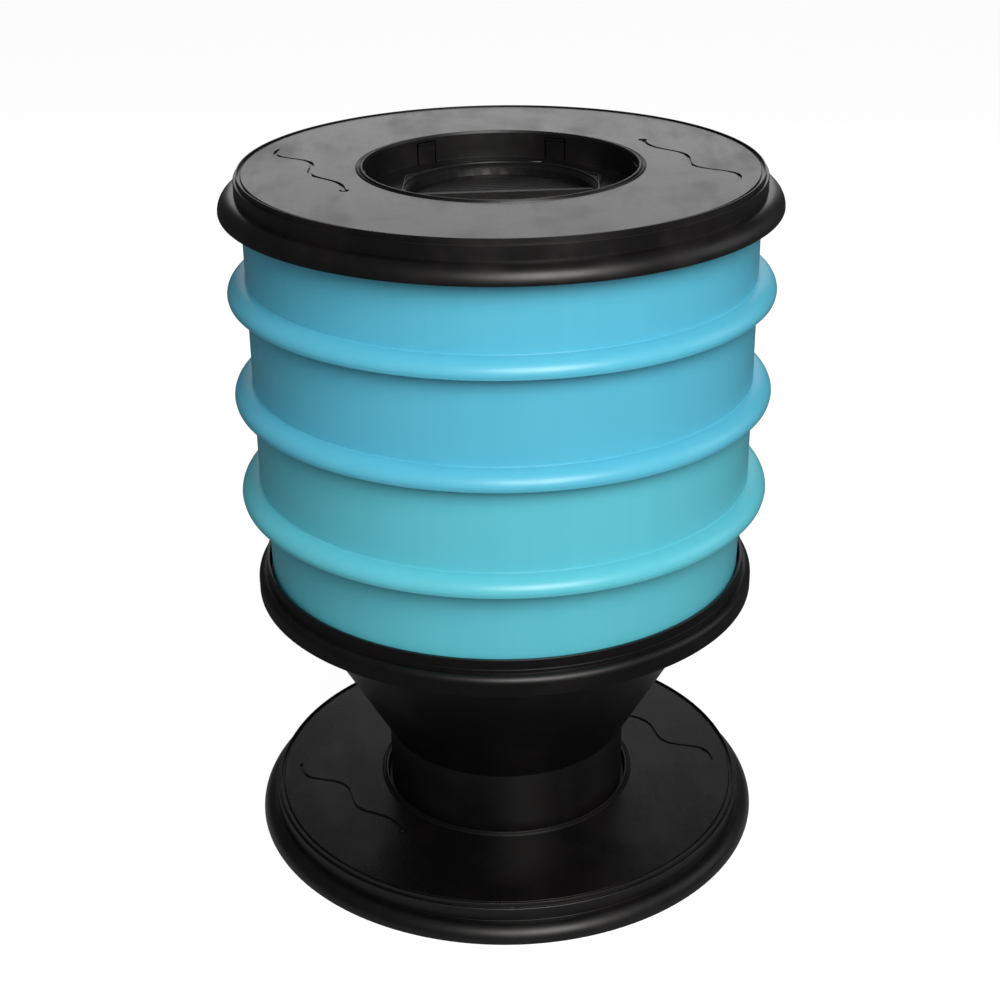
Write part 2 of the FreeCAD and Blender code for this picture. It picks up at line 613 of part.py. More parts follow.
class Tap:
    """The drain tap, laid out backward from the flat face of its boss."""

    def __init__(self):
        self.face_y = boss_face_y()
        self.flange_y = self.face_y + SEAL_THICKNESS
        self.barrel_y = self.flange_y + TAP_FLANGE
        self.valve_y = self.barrel_y + VALVE_REACH
        self.wall_y = self.face_y - BOSS_FACE
        self.nut_y = self.wall_y - SEAL_THICKNESS - NUT_THICKNESS
        self.end_y = self.nut_y - SHANK_PAST_NUT
        self.valve_top_z = TAP_Z + VALVE_TOP
        self.plug_z = TAP_Z - VALVE_BOTTOM + PLUG_SHOULDER
        self.spout_z = TAP_Z - VALVE_BOTTOM - SPOUT_LENGTH

    def at(self, y, z=TAP_Z):
        """A point on the tap's centre plane."""
        return FreeCAD.Vector(0, y, z)

    def body(self):
        """Threaded shank, flange, barrel, valve housing and spout in one moulding."""
        shank = tube_along(SHANK_RADIUS, self.at(self.end_y), self.flange_y - self.end_y, BACK)
        flange = tube_along(TAP_FLANGE_RADIUS, self.at(self.flange_y), TAP_FLANGE, BACK)
        barrel = tube_along(BARREL_RADIUS, self.at(self.flange_y), self.valve_y - self.flange_y, BACK)
        housing_foot = self.at(self.valve_y, TAP_Z - VALVE_BOTTOM)
        housing = tube_along(VALVE_RADIUS, housing_foot, VALVE_BOTTOM + VALVE_TOP, UP)
        spout = tube_along(SPOUT_RADIUS, self.at(self.valve_y, self.spout_z), SPOUT_LENGTH + WALL, UP)
        solid = shank.fuse([flange, barrel, housing, spout])
        way_in = tube_along(TAP_BORE, self.at(self.end_y), self.valve_y - self.end_y, BACK)
        seat_height = self.valve_top_z - self.plug_z
        seat = tube_along(PLUG_RADIUS + PLUG_FIT, self.at(self.valve_y, self.plug_z), seat_height, UP)
        way_out = tube_along(SPOUT_BORE, self.at(self.valve_y, self.spout_z), self.plug_z - self.spout_z, UP)
        return solid.cut([way_in, seat, way_out]).removeSplitter()

    def plug(self):
        """The turning plug with its elbow port, its head and its lever, shut at rest."""
        rest_z = self.plug_z + REST_FIT
        head_z = self.valve_top_z + REST_FIT
        stem = tube_along(PLUG_RADIUS, self.at(self.valve_y, rest_z), head_z - rest_z, UP)
        head = tube_along(HEAD_RADIUS, self.at(self.valve_y, head_z), HEAD_HEIGHT, UP)
        lever_z = head_z + HEAD_HEIGHT - LEVER_THICKNESS / 2
        corners = [(0, LEVER_ROOT / 2), (LEVER_LENGTH, LEVER_TIP / 2)]
        corners = corners + [(LEVER_LENGTH, -LEVER_TIP / 2), (0, -LEVER_ROOT / 2)]
        points = [FreeCAD.Vector(x, self.valve_y + y, lever_z) for x, y in corners]
        face = Part.Face(Part.makePolygon(points + points[:1]))
        lever = face.extrude(UP * LEVER_THICKNESS)
        tip_centre = FreeCAD.Vector(LEVER_LENGTH, self.valve_y, lever_z)
        tip = tube_along(LEVER_TIP / 2, tip_centre, LEVER_THICKNESS, UP)
        side_port = tube_along(PLUG_PORT, self.at(self.valve_y), PLUG_RADIUS, LEFT)
        down_port = tube_along(PLUG_PORT, self.at(self.valve_y, rest_z), TAP_Z - rest_z, UP)
        solid = stem.fuse([head, lever, tip]).cut([side_port, down_port])
        return solid.cut(self.ring_space()).removeSplitter()

    def ring_space(self):
        """The groove near the top of the plug, square in section."""
        low = self.valve_top_z - RING_DROP - RING_SECTION
        outer = tube_along(PLUG_RADIUS, self.at(self.valve_y, low), RING_SECTION, UP)
        inner = tube_along(PLUG_RADIUS - RING_SECTION, self.at(self.valve_y, low), RING_SECTION, UP)
        return outer.cut(inner)

    def plug_ring(self):
        """The sealing ring that fills the groove."""
        return self.ring_space()

    def seal(self, start_y):
        """A flat rubber washer on the shank."""
        outer = tube_along(SEAL_RADIUS, self.at(start_y), SEAL_THICKNESS, BACK)
        return outer.cut(tube_along(SHANK_HOLE_RADIUS, self.at(start_y), SEAL_THICKNESS, BACK))

    def nut(self):
        """The six-sided nut that draws the tap against its boss from within."""
        points = []
        for index in range(NUT_SIDE_COUNT):
            corner = on_circle(NUT_CORNER_RADIUS, FULL_TURN * index / NUT_SIDE_COUNT)
            points.append(self.at(self.nut_y) + FreeCAD.Vector(corner.x, 0, corner.y))
        block = Part.Face(Part.makePolygon(points + points[:1])).extrude(BACK * NUT_THICKNESS)
        return block.cut(tube_along(SHANK_HOLE_RADIUS, self.at(self.nut_y), NUT_THICKNESS, BACK))


def build():
    """Every piece by the name of its node, in its place in the closed wormery."""
    disc = disc_moulding()
    tap = Tap()
    one_tray = tray()
    pieces = {
        "base_disc": turn_z(disc, FOOT_TURN),
        "collector": collector(),
        "strainer": strainer(),
        "tap_body": tap.body(),
        "tap_plug": tap.plug(),
        "tap_plug_ring": tap.plug_ring(),
        "tap_seal_outer": tap.seal(tap.face_y),
        "tap_seal_inner": tap.seal(tap.wall_y - SEAL_THICKNESS),
        "tap_nut": tap.nut(),
        "lid": raised(disc, LID_Z),
        "vent_cap": raised(vent_cap(), LID_Z),
    }
    for level, name in enumerate(TRAY_NAMES):
        pieces[name] = raised(one_tray, FIRST_SHOULDER_Z + level * TRAY_BODY_HEIGHT)
    return pieces


def main():
    """Writes one file for each piece."""
    os.makedirs("parts", exist_ok=True)
    for name, shape in build().items():
        shape.exportStep(os.path.join("parts", name + ".step"))
        box = shape.BoundBox
        heights = (round(box.ZMin, 2), round(box.ZMax, 2))
        print(name, shape.isValid(), len(shape.Solids), heights, round(shape.Volume))


main()
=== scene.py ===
"""Dresses the wormery: rounded mouldings, plastic and rubber finishes, a plain studio and the camera.

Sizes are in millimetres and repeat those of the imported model. Meshes are made in metres, in its frame.
"""

import logging
import math
from abc import ABC, abstractmethod
from dataclasses import dataclass, field
from enum import Enum
from typing import Any, Iterable, Sequence, Union

import bmesh
import bpy
from mathutils import Matrix, Vector


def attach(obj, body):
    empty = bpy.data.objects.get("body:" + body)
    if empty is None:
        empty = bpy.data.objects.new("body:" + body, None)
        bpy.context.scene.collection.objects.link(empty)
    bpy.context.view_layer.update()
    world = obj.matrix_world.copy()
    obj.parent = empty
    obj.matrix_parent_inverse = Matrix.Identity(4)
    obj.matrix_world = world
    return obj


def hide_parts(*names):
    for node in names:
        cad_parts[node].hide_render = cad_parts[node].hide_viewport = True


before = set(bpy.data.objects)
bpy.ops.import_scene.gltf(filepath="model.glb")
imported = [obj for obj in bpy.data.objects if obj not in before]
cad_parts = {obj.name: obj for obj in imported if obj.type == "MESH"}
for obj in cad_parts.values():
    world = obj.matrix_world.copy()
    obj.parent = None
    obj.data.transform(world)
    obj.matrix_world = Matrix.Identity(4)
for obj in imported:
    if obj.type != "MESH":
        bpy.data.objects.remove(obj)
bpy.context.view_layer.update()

LOG = logging.getLogger("wormery")
MM = 0.001
TURN_STEPS = 192
TUBE_STEPS = 64
CORNER_STEPS = 3
CORNER_SHARE = 0.45
SMOOTH_ANGLE = math.radians(32.0)
BEVEL_ANGLE = math.radians(30.0)
NEAR_ZERO = 1e-6
TURN_SEAM = 1e-7
PLATE_SEAM = 1e-6
NODE_SEAM = 2e-6
NORMAL_WEIGHT = 60
EDGE_SEGMENTS = 2
BEAD_STEPS = 8
BEAD_SUNK = 0.3
PLATE_SOFT = 0.3
PLASTIC_IOR = 1.5
NOISE_MEAN = 0.5
WHITE = (1.0, 1.0, 1.0)
FLAT = (1.0, 1.0, 0.0)
UNSTRETCHED = (1.0, 1.0, 1.0)

Colour = tuple[float, float, float]
Triple = tuple[float, float, float]
Point = tuple[float, float]
Span = tuple[float, float]
Operand = Union["Value", float]
Solid = bmesh.types.BMesh


class Slot(Enum):
    """The record's material slots."""

    BLACK = "black_moulding"
    BLUE = "tray_blue"
    TEAL = "tray_teal"
    TAP_BLACK = "tap_black"
    TAP_GREY = "tap_grey"
    RUBBER = "seal_rubber"


class Carve(Enum):
    """What a second solid does to the first."""

    CUT = "DIFFERENCE"
    JOIN = "UNION"


@dataclass(frozen=True)
class Cloud:
    """Cloudy noise: its cells to the metre, its finer layers, how strong they are, and its stretch."""

    cells: float
    layers: float = 2.0
    rough: float = 0.5
    stretch: Triple = UNSTRETCHED


@dataclass(frozen=True)
class Relief:
    """A relief too small to model: its depth in metres, and how strongly it shows."""

    depth: float
    strength: float


class Value:
    """One output of a node, for use in plain arithmetic."""

    def __init__(self, graph: "Graph", socket: bpy.types.NodeSocket) -> None:
        """Keeps the graph that new nodes go to, and the output socket that is wrapped."""
        self.graph = graph
        self.socket = socket

    def _math(self, operation: str, first: Operand, second: Operand) -> "Value":
        """The result of one Math node on two values."""
        return self.graph.node("Math", {"operation": operation}, {0: first, 1: second})

    def __add__(self, other: Operand) -> "Value":
        """The sum."""
        return self._math("ADD", self, other)

    def __radd__(self, other: Operand) -> "Value":
        """The sum, from the right."""
        return self._math("ADD", other, self)

    def __sub__(self, other: Operand) -> "Value":
        """The difference."""
        return self._math("SUBTRACT", self, other)

    def __rsub__(self, other: Operand) -> "Value":
        """The difference, from the right."""
        return self._math("SUBTRACT", other, self)

    def __mul__(self, other: Operand) -> "Value":
        """The product."""
        return self._math("MULTIPLY", self, other)

    def __rmul__(self, other: Operand) -> "Value":
        """The product, from the right."""
        return self._math("MULTIPLY", other, self)

    def __or__(self, other: Operand) -> "Value":
        """The larger of the two."""
        return self._math("MAXIMUM", self, other)

    def __ror__(self, other: Operand) -> "Value":
        """The larger of the two, from the right."""
        return self._math("MAXIMUM", other, self)

    def ramp(self, span: Span) -> "Value":
        """Spreads the values of a span over 0 to 1, with soft ends."""
        sockets = {"Value": self, "From Min": span[0], "From Max": span[1]}
        return self.graph.node("MapRange", {"interpolation_type": "SMOOTHSTEP"}, sockets)


class Graph:
    """The node tree of one material or of the world."""

    def __init__(self, tree: bpy.types.NodeTree) -> None:
        """Keeps the tree and empties it."""
        self.tree = tree
        tree.nodes.clear()

    def node(self, kind: str, settings: dict[str, Any], sockets: dict[Any, Any], output: Any = 0) -> Value:
        """Adds one node.

        Args:
            kind: The node's type, without the word ShaderNode before it.
            settings: The node's own choices, such as a Math node's operation, which are set first.
            sockets: The values or links of its inputs, by name or number.
            output: The output that is wanted, by name or number.

        Returns:
            The wanted output.
        """
        made = self.tree.nodes.new("ShaderNode" + kind)
        for name, setting in settings.items():
            setattr(made, name, setting)
        for name, value in sockets.items():
            if isinstance(value, Value):
                self.tree.links.new(value.socket, made.inputs[name])
            elif isinstance(value, tuple) and made.inputs[name].type == "RGBA":
                made.inputs[name].default_value = (*value, 1.0)
            else:
                made.inputs[name].default_value = value
        socket = made.outputs[output] if len(made.outputs) else None
        return Value(self, socket)

    def place(self, stretch: Triple = UNSTRETCHED) -> Value:
        """The point on the object, each axis multiplied by its stretch."""
        point = self.node("TexCoord", {}, {}, "Object")
        return self.node("VectorMath", {"operation": "MULTIPLY"}, {0: point, 1: stretch})

    def length(self, vector: Value) -> Value:
        """How long a vector is."""
        return self.node("VectorMath", {"operation": "LENGTH"}, {0: vector}, "Value")

    def upward(self, vector: Value) -> Value:
        """The upward part of a vector."""
        return self.node("SeparateXYZ", {}, {0: vector}, 2)

    def noise(self, cloud: Cloud) -> Value:
        """Makes noise about NOISE_MEAN on the object.

        Args:
            cloud: What the noise is like.

        Returns:
            The noise.
        """
        point = self.place(cloud.stretch)
        sockets = {"Vector": point, "Scale": cloud.cells, "Detail": cloud.layers, "Roughness": cloud.rough}
        return self.node("TexNoise", {}, sockets)

    def blend(self, first: Any, second: Any, share: Operand) -> Value:
        """The first colour with a share, from 0 to 1, of the second."""
        return self.node("Mix", {"data_type": "RGBA"}, {0: share, 6: first, 7: second}, 2)

    def bump(self, height: Value, relief: Relief, over: Value | None = None) -> Value:
        """The normal of a relief, which may lie over another."""
        sockets = {"Strength": relief.strength, "Distance": relief.depth, "Height": height}
        return self.node("Bump", {}, sockets if over is None else {**sockets, "Normal": over})


Layers = tuple[Value, Value, Value]


def new_material(name: str) -> tuple[bpy.types.Material, Graph]:
    """Starts a material.

    Args:
        name: Its name.

    Returns:
        The material and its empty graph.
    """
    material = bpy.data.materials.new(name)
    material.use_nodes = True
    return material, Graph(material.node_tree)


@dataclass(frozen=True)
class Finish(ABC):
    """What every finish has: a name, a colour and how glossy it is."""

    name: str
    colour: Colour
    gloss_level: float
    roughness: float

    @abstractmethod
    def layers(self, graph: Graph) -> Layers:
        """Its base colour, its roughness and its normal."""

    def material(self) -> bpy.types.Material:
        """Builds the material from its layers.

        Returns:
            The material.
        """
        material, graph = new_material(self.name)
        base, rough, normal = self.layers(graph)
        sockets = {"Base Color": base, "Roughness": rough, "Normal": normal, "IOR": PLASTIC_IOR}
        shader = graph.node("BsdfPrincipled", {}, {**sockets, "Specular IOR Level": self.gloss_level})
        graph.node("OutputMaterial", {}, {"Surface": shader})
        return material


@dataclass(frozen=True)
class BlackMoulding(Finish):
    """Black recycled plastic: fine grain, faint brown tint, cloudy smudges and a little dust.

    Low pieces get painted shade for the shadow of the trays above: they are darker and have fewer light
    smudges than the lid. Flat tops outside the recess are smoother.
    """

    tint: Colour = (0.0052, 0.0040, 0.0040)
    # Painted shade: the dark colour mixed into low pieces, standing in for the shadow of the trays above.
    deep: Colour = (0.0014, 0.0013, 0.0014)
    film: Colour = (0.022, 0.021, 0.021)
    dust: Colour = (0.07, 0.065, 0.06)
    patches: Cloud = Cloud(16.0, 5.0, 0.62)
    patch_span: Span = (0.40, 0.66)
    wipes: Cloud = Cloud(1.0, 4.0, 0.6, (38.0, 11.0, 30.0))
    wipe_span: Span = (0.36, 0.66)
    wipe_rough: float = 0.04
    specks: Cloud = Cloud(1100.0, 1.0)
    speck_span: Span = (0.73, 0.80)
    speck_share: float = 0.35
    smudge_share: float = 0.24
    smudge_rough: float = 0.08
    # Painted shade on low pieces: the share of smudges and of their own colour that they keep, and the
    # heights over which the shade fades out.
    smudges_kept_in_painted_shade: float = 0.25
    colour_kept_in_painted_shade: float = 0.8
    painted_shade_heights: Span = (0.24, 0.40)
    level_span: Span = (0.90, 0.99)
    level_polish: float = 0.13
    plate_span: Span = (0.096, 0.104)
    swell: Cloud = Cloud(26.0, 1.0)
    swell_relief: Relief = Relief(0.0006, 0.10)
    grain: Cloud = Cloud(2400.0)
    grain_rough: float = 0.05
    grain_relief: Relief = Relief(0.00004, 0.22)

    def layers(self, graph: Graph) -> Layers:
        """Lays patches, wipe marks, dust and grain over the colour.

        Args:
            graph: The material's graph.

        Returns:
            The base colour, the roughness and the normal.
        """
        patches = graph.noise(self.patches).ramp(self.patch_span)
        wiped, grain = graph.noise(self.wipes), graph.noise(self.grain)
        specks = graph.noise(self.specks).ramp(self.speck_span)
        smudges = patches * wiped.ramp(self.wipe_span)
        # Painted shade mask: 0 on low pieces in the trays' shadow, 1 on high pieces such as the lid.
        high = graph.upward(graph.place()).ramp(self.painted_shade_heights)
        # Fewer light smudges on low pieces, as part of the same painted shade.
        share = smudges * self.smudge_share * (self.smudges_kept_in_painted_shade + (1 - self.smudges_kept_in_painted_shade) * high)
        base = graph.blend(graph.blend(self.colour, self.tint, patches), self.film, share)
        base = graph.blend(base, self.dust, specks * self.speck_share)
        # Painted shade: low pieces get part of the deep colour.
        base = graph.blend(self.deep, base, self.colour_kept_in_painted_shade + (1 - self.colour_kept_in_painted_shade) * high)
        level = graph.upward(graph.node("NewGeometry", {}, {}, "Normal")).ramp(self.level_span)
        level = level * graph.length(graph.place(FLAT)).ramp(self.plate_span)
        rough = self.roughness - self.level_polish * level + self.smudge_rough * smudges
        rough = rough + self.grain_rough * (grain - NOISE_MEAN) + self.wipe_rough * (wiped - NOISE_MEAN)
        under = graph.bump(graph.noise(self.swell), self.swell_relief)
        return base, rough, graph.bump(grain, self.grain_relief, under)


@dataclass(frozen=True)
class TrayPlastic(Finish):
    """Coloured tray plastic: an even satin with faint upright flow marks and light handling."""

    shade: Colour
    flow: Cloud = Cloud(1.0, 3.0, 0.55, (90.0, 90.0, 6.0))
    flow_span: Span = (0.35, 0.75)
    flow_share: float = 0.28
    flow_relief: Relief = Relief(0.0004, 0.06)
    patches: Cloud = Cloud(11.0, 4.0, 0.55)
    patch_span: Span = (0.35, 0.70)
    patch_share: float = 0.25
    patch_rough: float = 0.05
    rubs: Cloud = Cloud(1.0, 4.0, 0.65, (24.0, 24.0, 70.0))
    rub_span: Span = (0.52, 0.74)
    rub_rough: float = 0.07
    grain: Cloud = Cloud(2200.0)
    grain_rough: float = 0.04
    grain_relief: Relief = Relief(0.00003, 0.16)

    def layers(self, graph: Graph) -> Layers:
        """Lays flow marks, patches, rubbed places and grain over the colour.

        Args:
            graph: The material's graph.

        Returns:
            The base colour, the roughness and the normal.
        """
        flow, patches, grain = (graph.noise(cloud) for cloud in (self.flow, self.patches, self.grain))
        rubbed = graph.noise(self.rubs).ramp(self.rub_span)
        share = flow.ramp(self.flow_span) * self.flow_share + patches.ramp(self.patch_span) * self.patch_share
        rough = self.roughness + self.rub_rough * rubbed + self.patch_rough * (patches - NOISE_MEAN)
        rough = rough + self.grain_rough * (grain - NOISE_MEAN)
        under = graph.bump(flow, self.flow_relief)
        return graph.blend(self.colour, self.shade, share), rough, graph.bump(grain, self.grain_relief, under)


@dataclass(frozen=True)
class TapPlastic(Finish):
    """The harder plastic of the tap, with a soft spark-worn grain."""

    lighten: float = 1.45
    lift: float = 0.004
    patches: Cloud = Cloud(60.0, 3.0)
    patch_span: Span = (0.40, 0.72)
    patch_share: float = 0.6
    patch_rough: float = 0.08
    grain: Cloud = Cloud(1900.0)
    grain_rough: float = 0.12
    grain_relief: Relief = Relief(0.00005, 0.30)

    def layers(self, graph: Graph) -> Layers:
        """Lays lighter patches and grain over the colour.

        Args:
            graph: The material's graph.

        Returns:
            The base colour, the roughness and the normal.
        """
        grain, patches = graph.noise(self.grain), graph.noise(self.patches)
        lighter = tuple(part * self.lighten + self.lift for part in self.colour)
        base = graph.blend(self.colour, lighter, patches.ramp(self.patch_span) * self.patch_share)
        rough = self.roughness + self.grain_rough * (grain - NOISE_MEAN)
        rough = rough + self.patch_rough * (patches - NOISE_MEAN)
        return base, rough, graph.bump(grain, self.grain_relief)


@dataclass(frozen=True)
class SealRubber(Finish):
    """Matt rubber with a dusty bloom."""

    dust: Colour = (0.045, 0.044, 0.042)
    bloom: Cloud = Cloud(220.0, 4.0, 0.65)
    bloom_span: Span = (0.45, 0.75)
    bloom_share: float = 0.7
    bloom_rough: float = 0.10
    bloom_relief: Relief = Relief(0.00006, 0.35)

    def layers(self, graph: Graph) -> Layers:
        """Lays the bloom over the colour.

        Args:
            graph: The material's graph.

        Returns:
            The base colour, the roughness and the normal.
        """
        bloom = graph.noise(self.bloom)
        base = graph.blend(self.colour, self.dust, bloom.ramp(self.bloom_span) * self.bloom_share)
        rough = self.roughness + self.bloom_rough * (bloom - NOISE_MEAN)
        return base, rough, graph.bump(bloom, self.bloom_relief)


class Palette:
    """One material for each slot of the record."""

    def __init__(self) -> None:
        """Builds the materials."""
        black = BlackMoulding("black moulding", (0.0032, 0.0029, 0.0030), 0.46, 0.40)
        blue = TrayPlastic("blue tray plastic", (0.092, 0.455, 0.625), 0.50, 0.35, (0.080, 0.415, 0.585))
        teal = TrayPlastic("teal tray plastic", (0.105, 0.505, 0.610), 0.50, 0.35, (0.092, 0.460, 0.565))
        self.materials: dict[Slot, bpy.types.Material] = {
            Slot.BLACK: black.material(),
            Slot.BLUE: blue.material(),
            Slot.TEAL: teal.material(),
            Slot.TAP_BLACK: TapPlastic("tap black plastic", (0.010, 0.010, 0.011), 0.35, 0.42).material(),
            Slot.TAP_GREY: TapPlastic("tap grey plastic", (0.075, 0.078, 0.082), 0.40, 0.40).material(),
            Slot.RUBBER: SealRubber("seal rubber", (0.014, 0.014, 0.014), 0.25, 0.72).material(),
        }

    def dress(self, piece: bpy.types.Object, slot: Slot) -> None:
        """Gives a piece one finish.

        Args:
            piece: The object to dress.
            slot: The slot whose finish it gets.
        """
        if not piece.material_slots:
            piece.data.materials.append(self.materials[slot])
        for place in piece.material_slots:
            place.link = "OBJECT"
            place.material = self.materials[slot]


class Outline:
    """Half a cross-section as radius and height in millimetres, with rounded corners."""

    def __init__(self) -> None:
        """Starts with no corners."""
        self.corners: list[Triple] = []

    def to(self, *corners: tuple[float, ...]) -> None:
        """Adds corners, each by radius, height and, where it is rounded, the radius of its rounding."""
        self.corners += [(*corner, 0.0)[:3] for corner in corners]

    def oval(self, centre: Point, reach: Point, first: float, last: float, steps: int) -> None:
        """Adds points on a stretch of an oval, or of a circle where both reaches are the same.

        Args:
            centre: Centre of the oval.
            reach: Its half width and half height.
            first: Angle of its first point in degrees, from outward to up.
            last: Angle of its last point in degrees.
            steps: How many steps it has.
        """
        for index in range(steps + 1):
            angle = math.radians(first + (last - first) * index / steps)
            self.to((centre[0] + reach[0] * math.cos(angle), centre[1] + reach[1] * math.sin(angle)))

    def points(self) -> list[Point]:
        """Rounds the corners.

        Returns:
            The points of the closed outline.
        """
        found: list[Point] = []
        count = len(self.corners)
        for index, (radius, height, rounding) in enumerate(self.corners):
            here = Vector((radius, height))
            if rounding <= 0.0:
                found.append((radius, height))
                continue
            before = Vector(self.corners[index - 1][:2]) - here
            after = Vector(self.corners[(index + 1) % count][:2]) - here
            longest = CORNER_SHARE * min(before.length, after.length)
            reach = min(rounding / math.tan(before.angle(after) / 2), longest)
            start = here + before.normalized() * reach
            end = here + after.normalized() * reach
            for step in range(CORNER_STEPS + 1):
                share = step / CORNER_STEPS
                spot = start * (1 - share) ** 2 + here * (2 * share * (1 - share)) + end * share ** 2
                found.append((spot.x, spot.y))
        return found


def circle(radius: float, steps: int, centre: Point = (0.0, 0.0)) -> list[Point]:
    """Points at equal steps round a circle."""
    turns = [2 * math.pi * step / steps for step in range(steps)]
    return [(centre[0] + radius * math.cos(turn), centre[1] + radius * math.sin(turn)) for turn in turns]


def rotated(points: Sequence[Point], angle: float) -> list[Point]:
    """Points turned about the upright axis by an angle in radians."""
    cosine, sine = math.cos(angle), math.sin(angle)
    return [(x * cosine - y * sine, x * sine + y * cosine) for x, y in points]


def new_object(name: str, data: bpy.types.ID) -> bpy.types.Object:
    """Puts a new object in the scene.

    Args:
        name: Its name.
        data: Its mesh, curve, light or camera.

    Returns:
        The object.
    """
    made = bpy.data.objects.new(name, data)
    bpy.context.scene.collection.objects.link(made)
    return made


def as_seen(holder: bpy.types.Object) -> Solid:
    """Takes the mesh of an object as its modifiers or its curve settings leave it.

    Args:
        holder: The object, which stays as it is.

    Returns:
        The mesh.
    """
    mesh = bpy.data.meshes.new_from_object(holder.evaluated_get(bpy.context.evaluated_depsgraph_get()))
    found = bmesh.new()
    found.from_mesh(mesh)
    bpy.data.meshes.remove(mesh)
    return found


def join_rings(work: Solid, rings: Sequence[Sequence[bmesh.types.BMVert]]) -> None:
    """Joins each ring of points to the next, and the last to the first.

    Args:
        work: The mesh that has the points.
        rings: The rings. Edges that lie on the axis in both rings get no face.
    """
    for index, here in enumerate(rings):
        there = rings[(index + 1) % len(rings)]
        still = [(a.co - b.co).length < TURN_SEAM for a, b in zip(here, there)]
        for corner in range(len(here)):
            other = (corner + 1) % len(here)
            if not (still[corner] and still[other]):
                work.faces.new((here[corner], there[corner], there[other], here[other]))
    bmesh.ops.remove_doubles(work, verts=work.verts, dist=TURN_SEAM)
    bmesh.ops.recalc_face_normals(work, faces=work.faces)


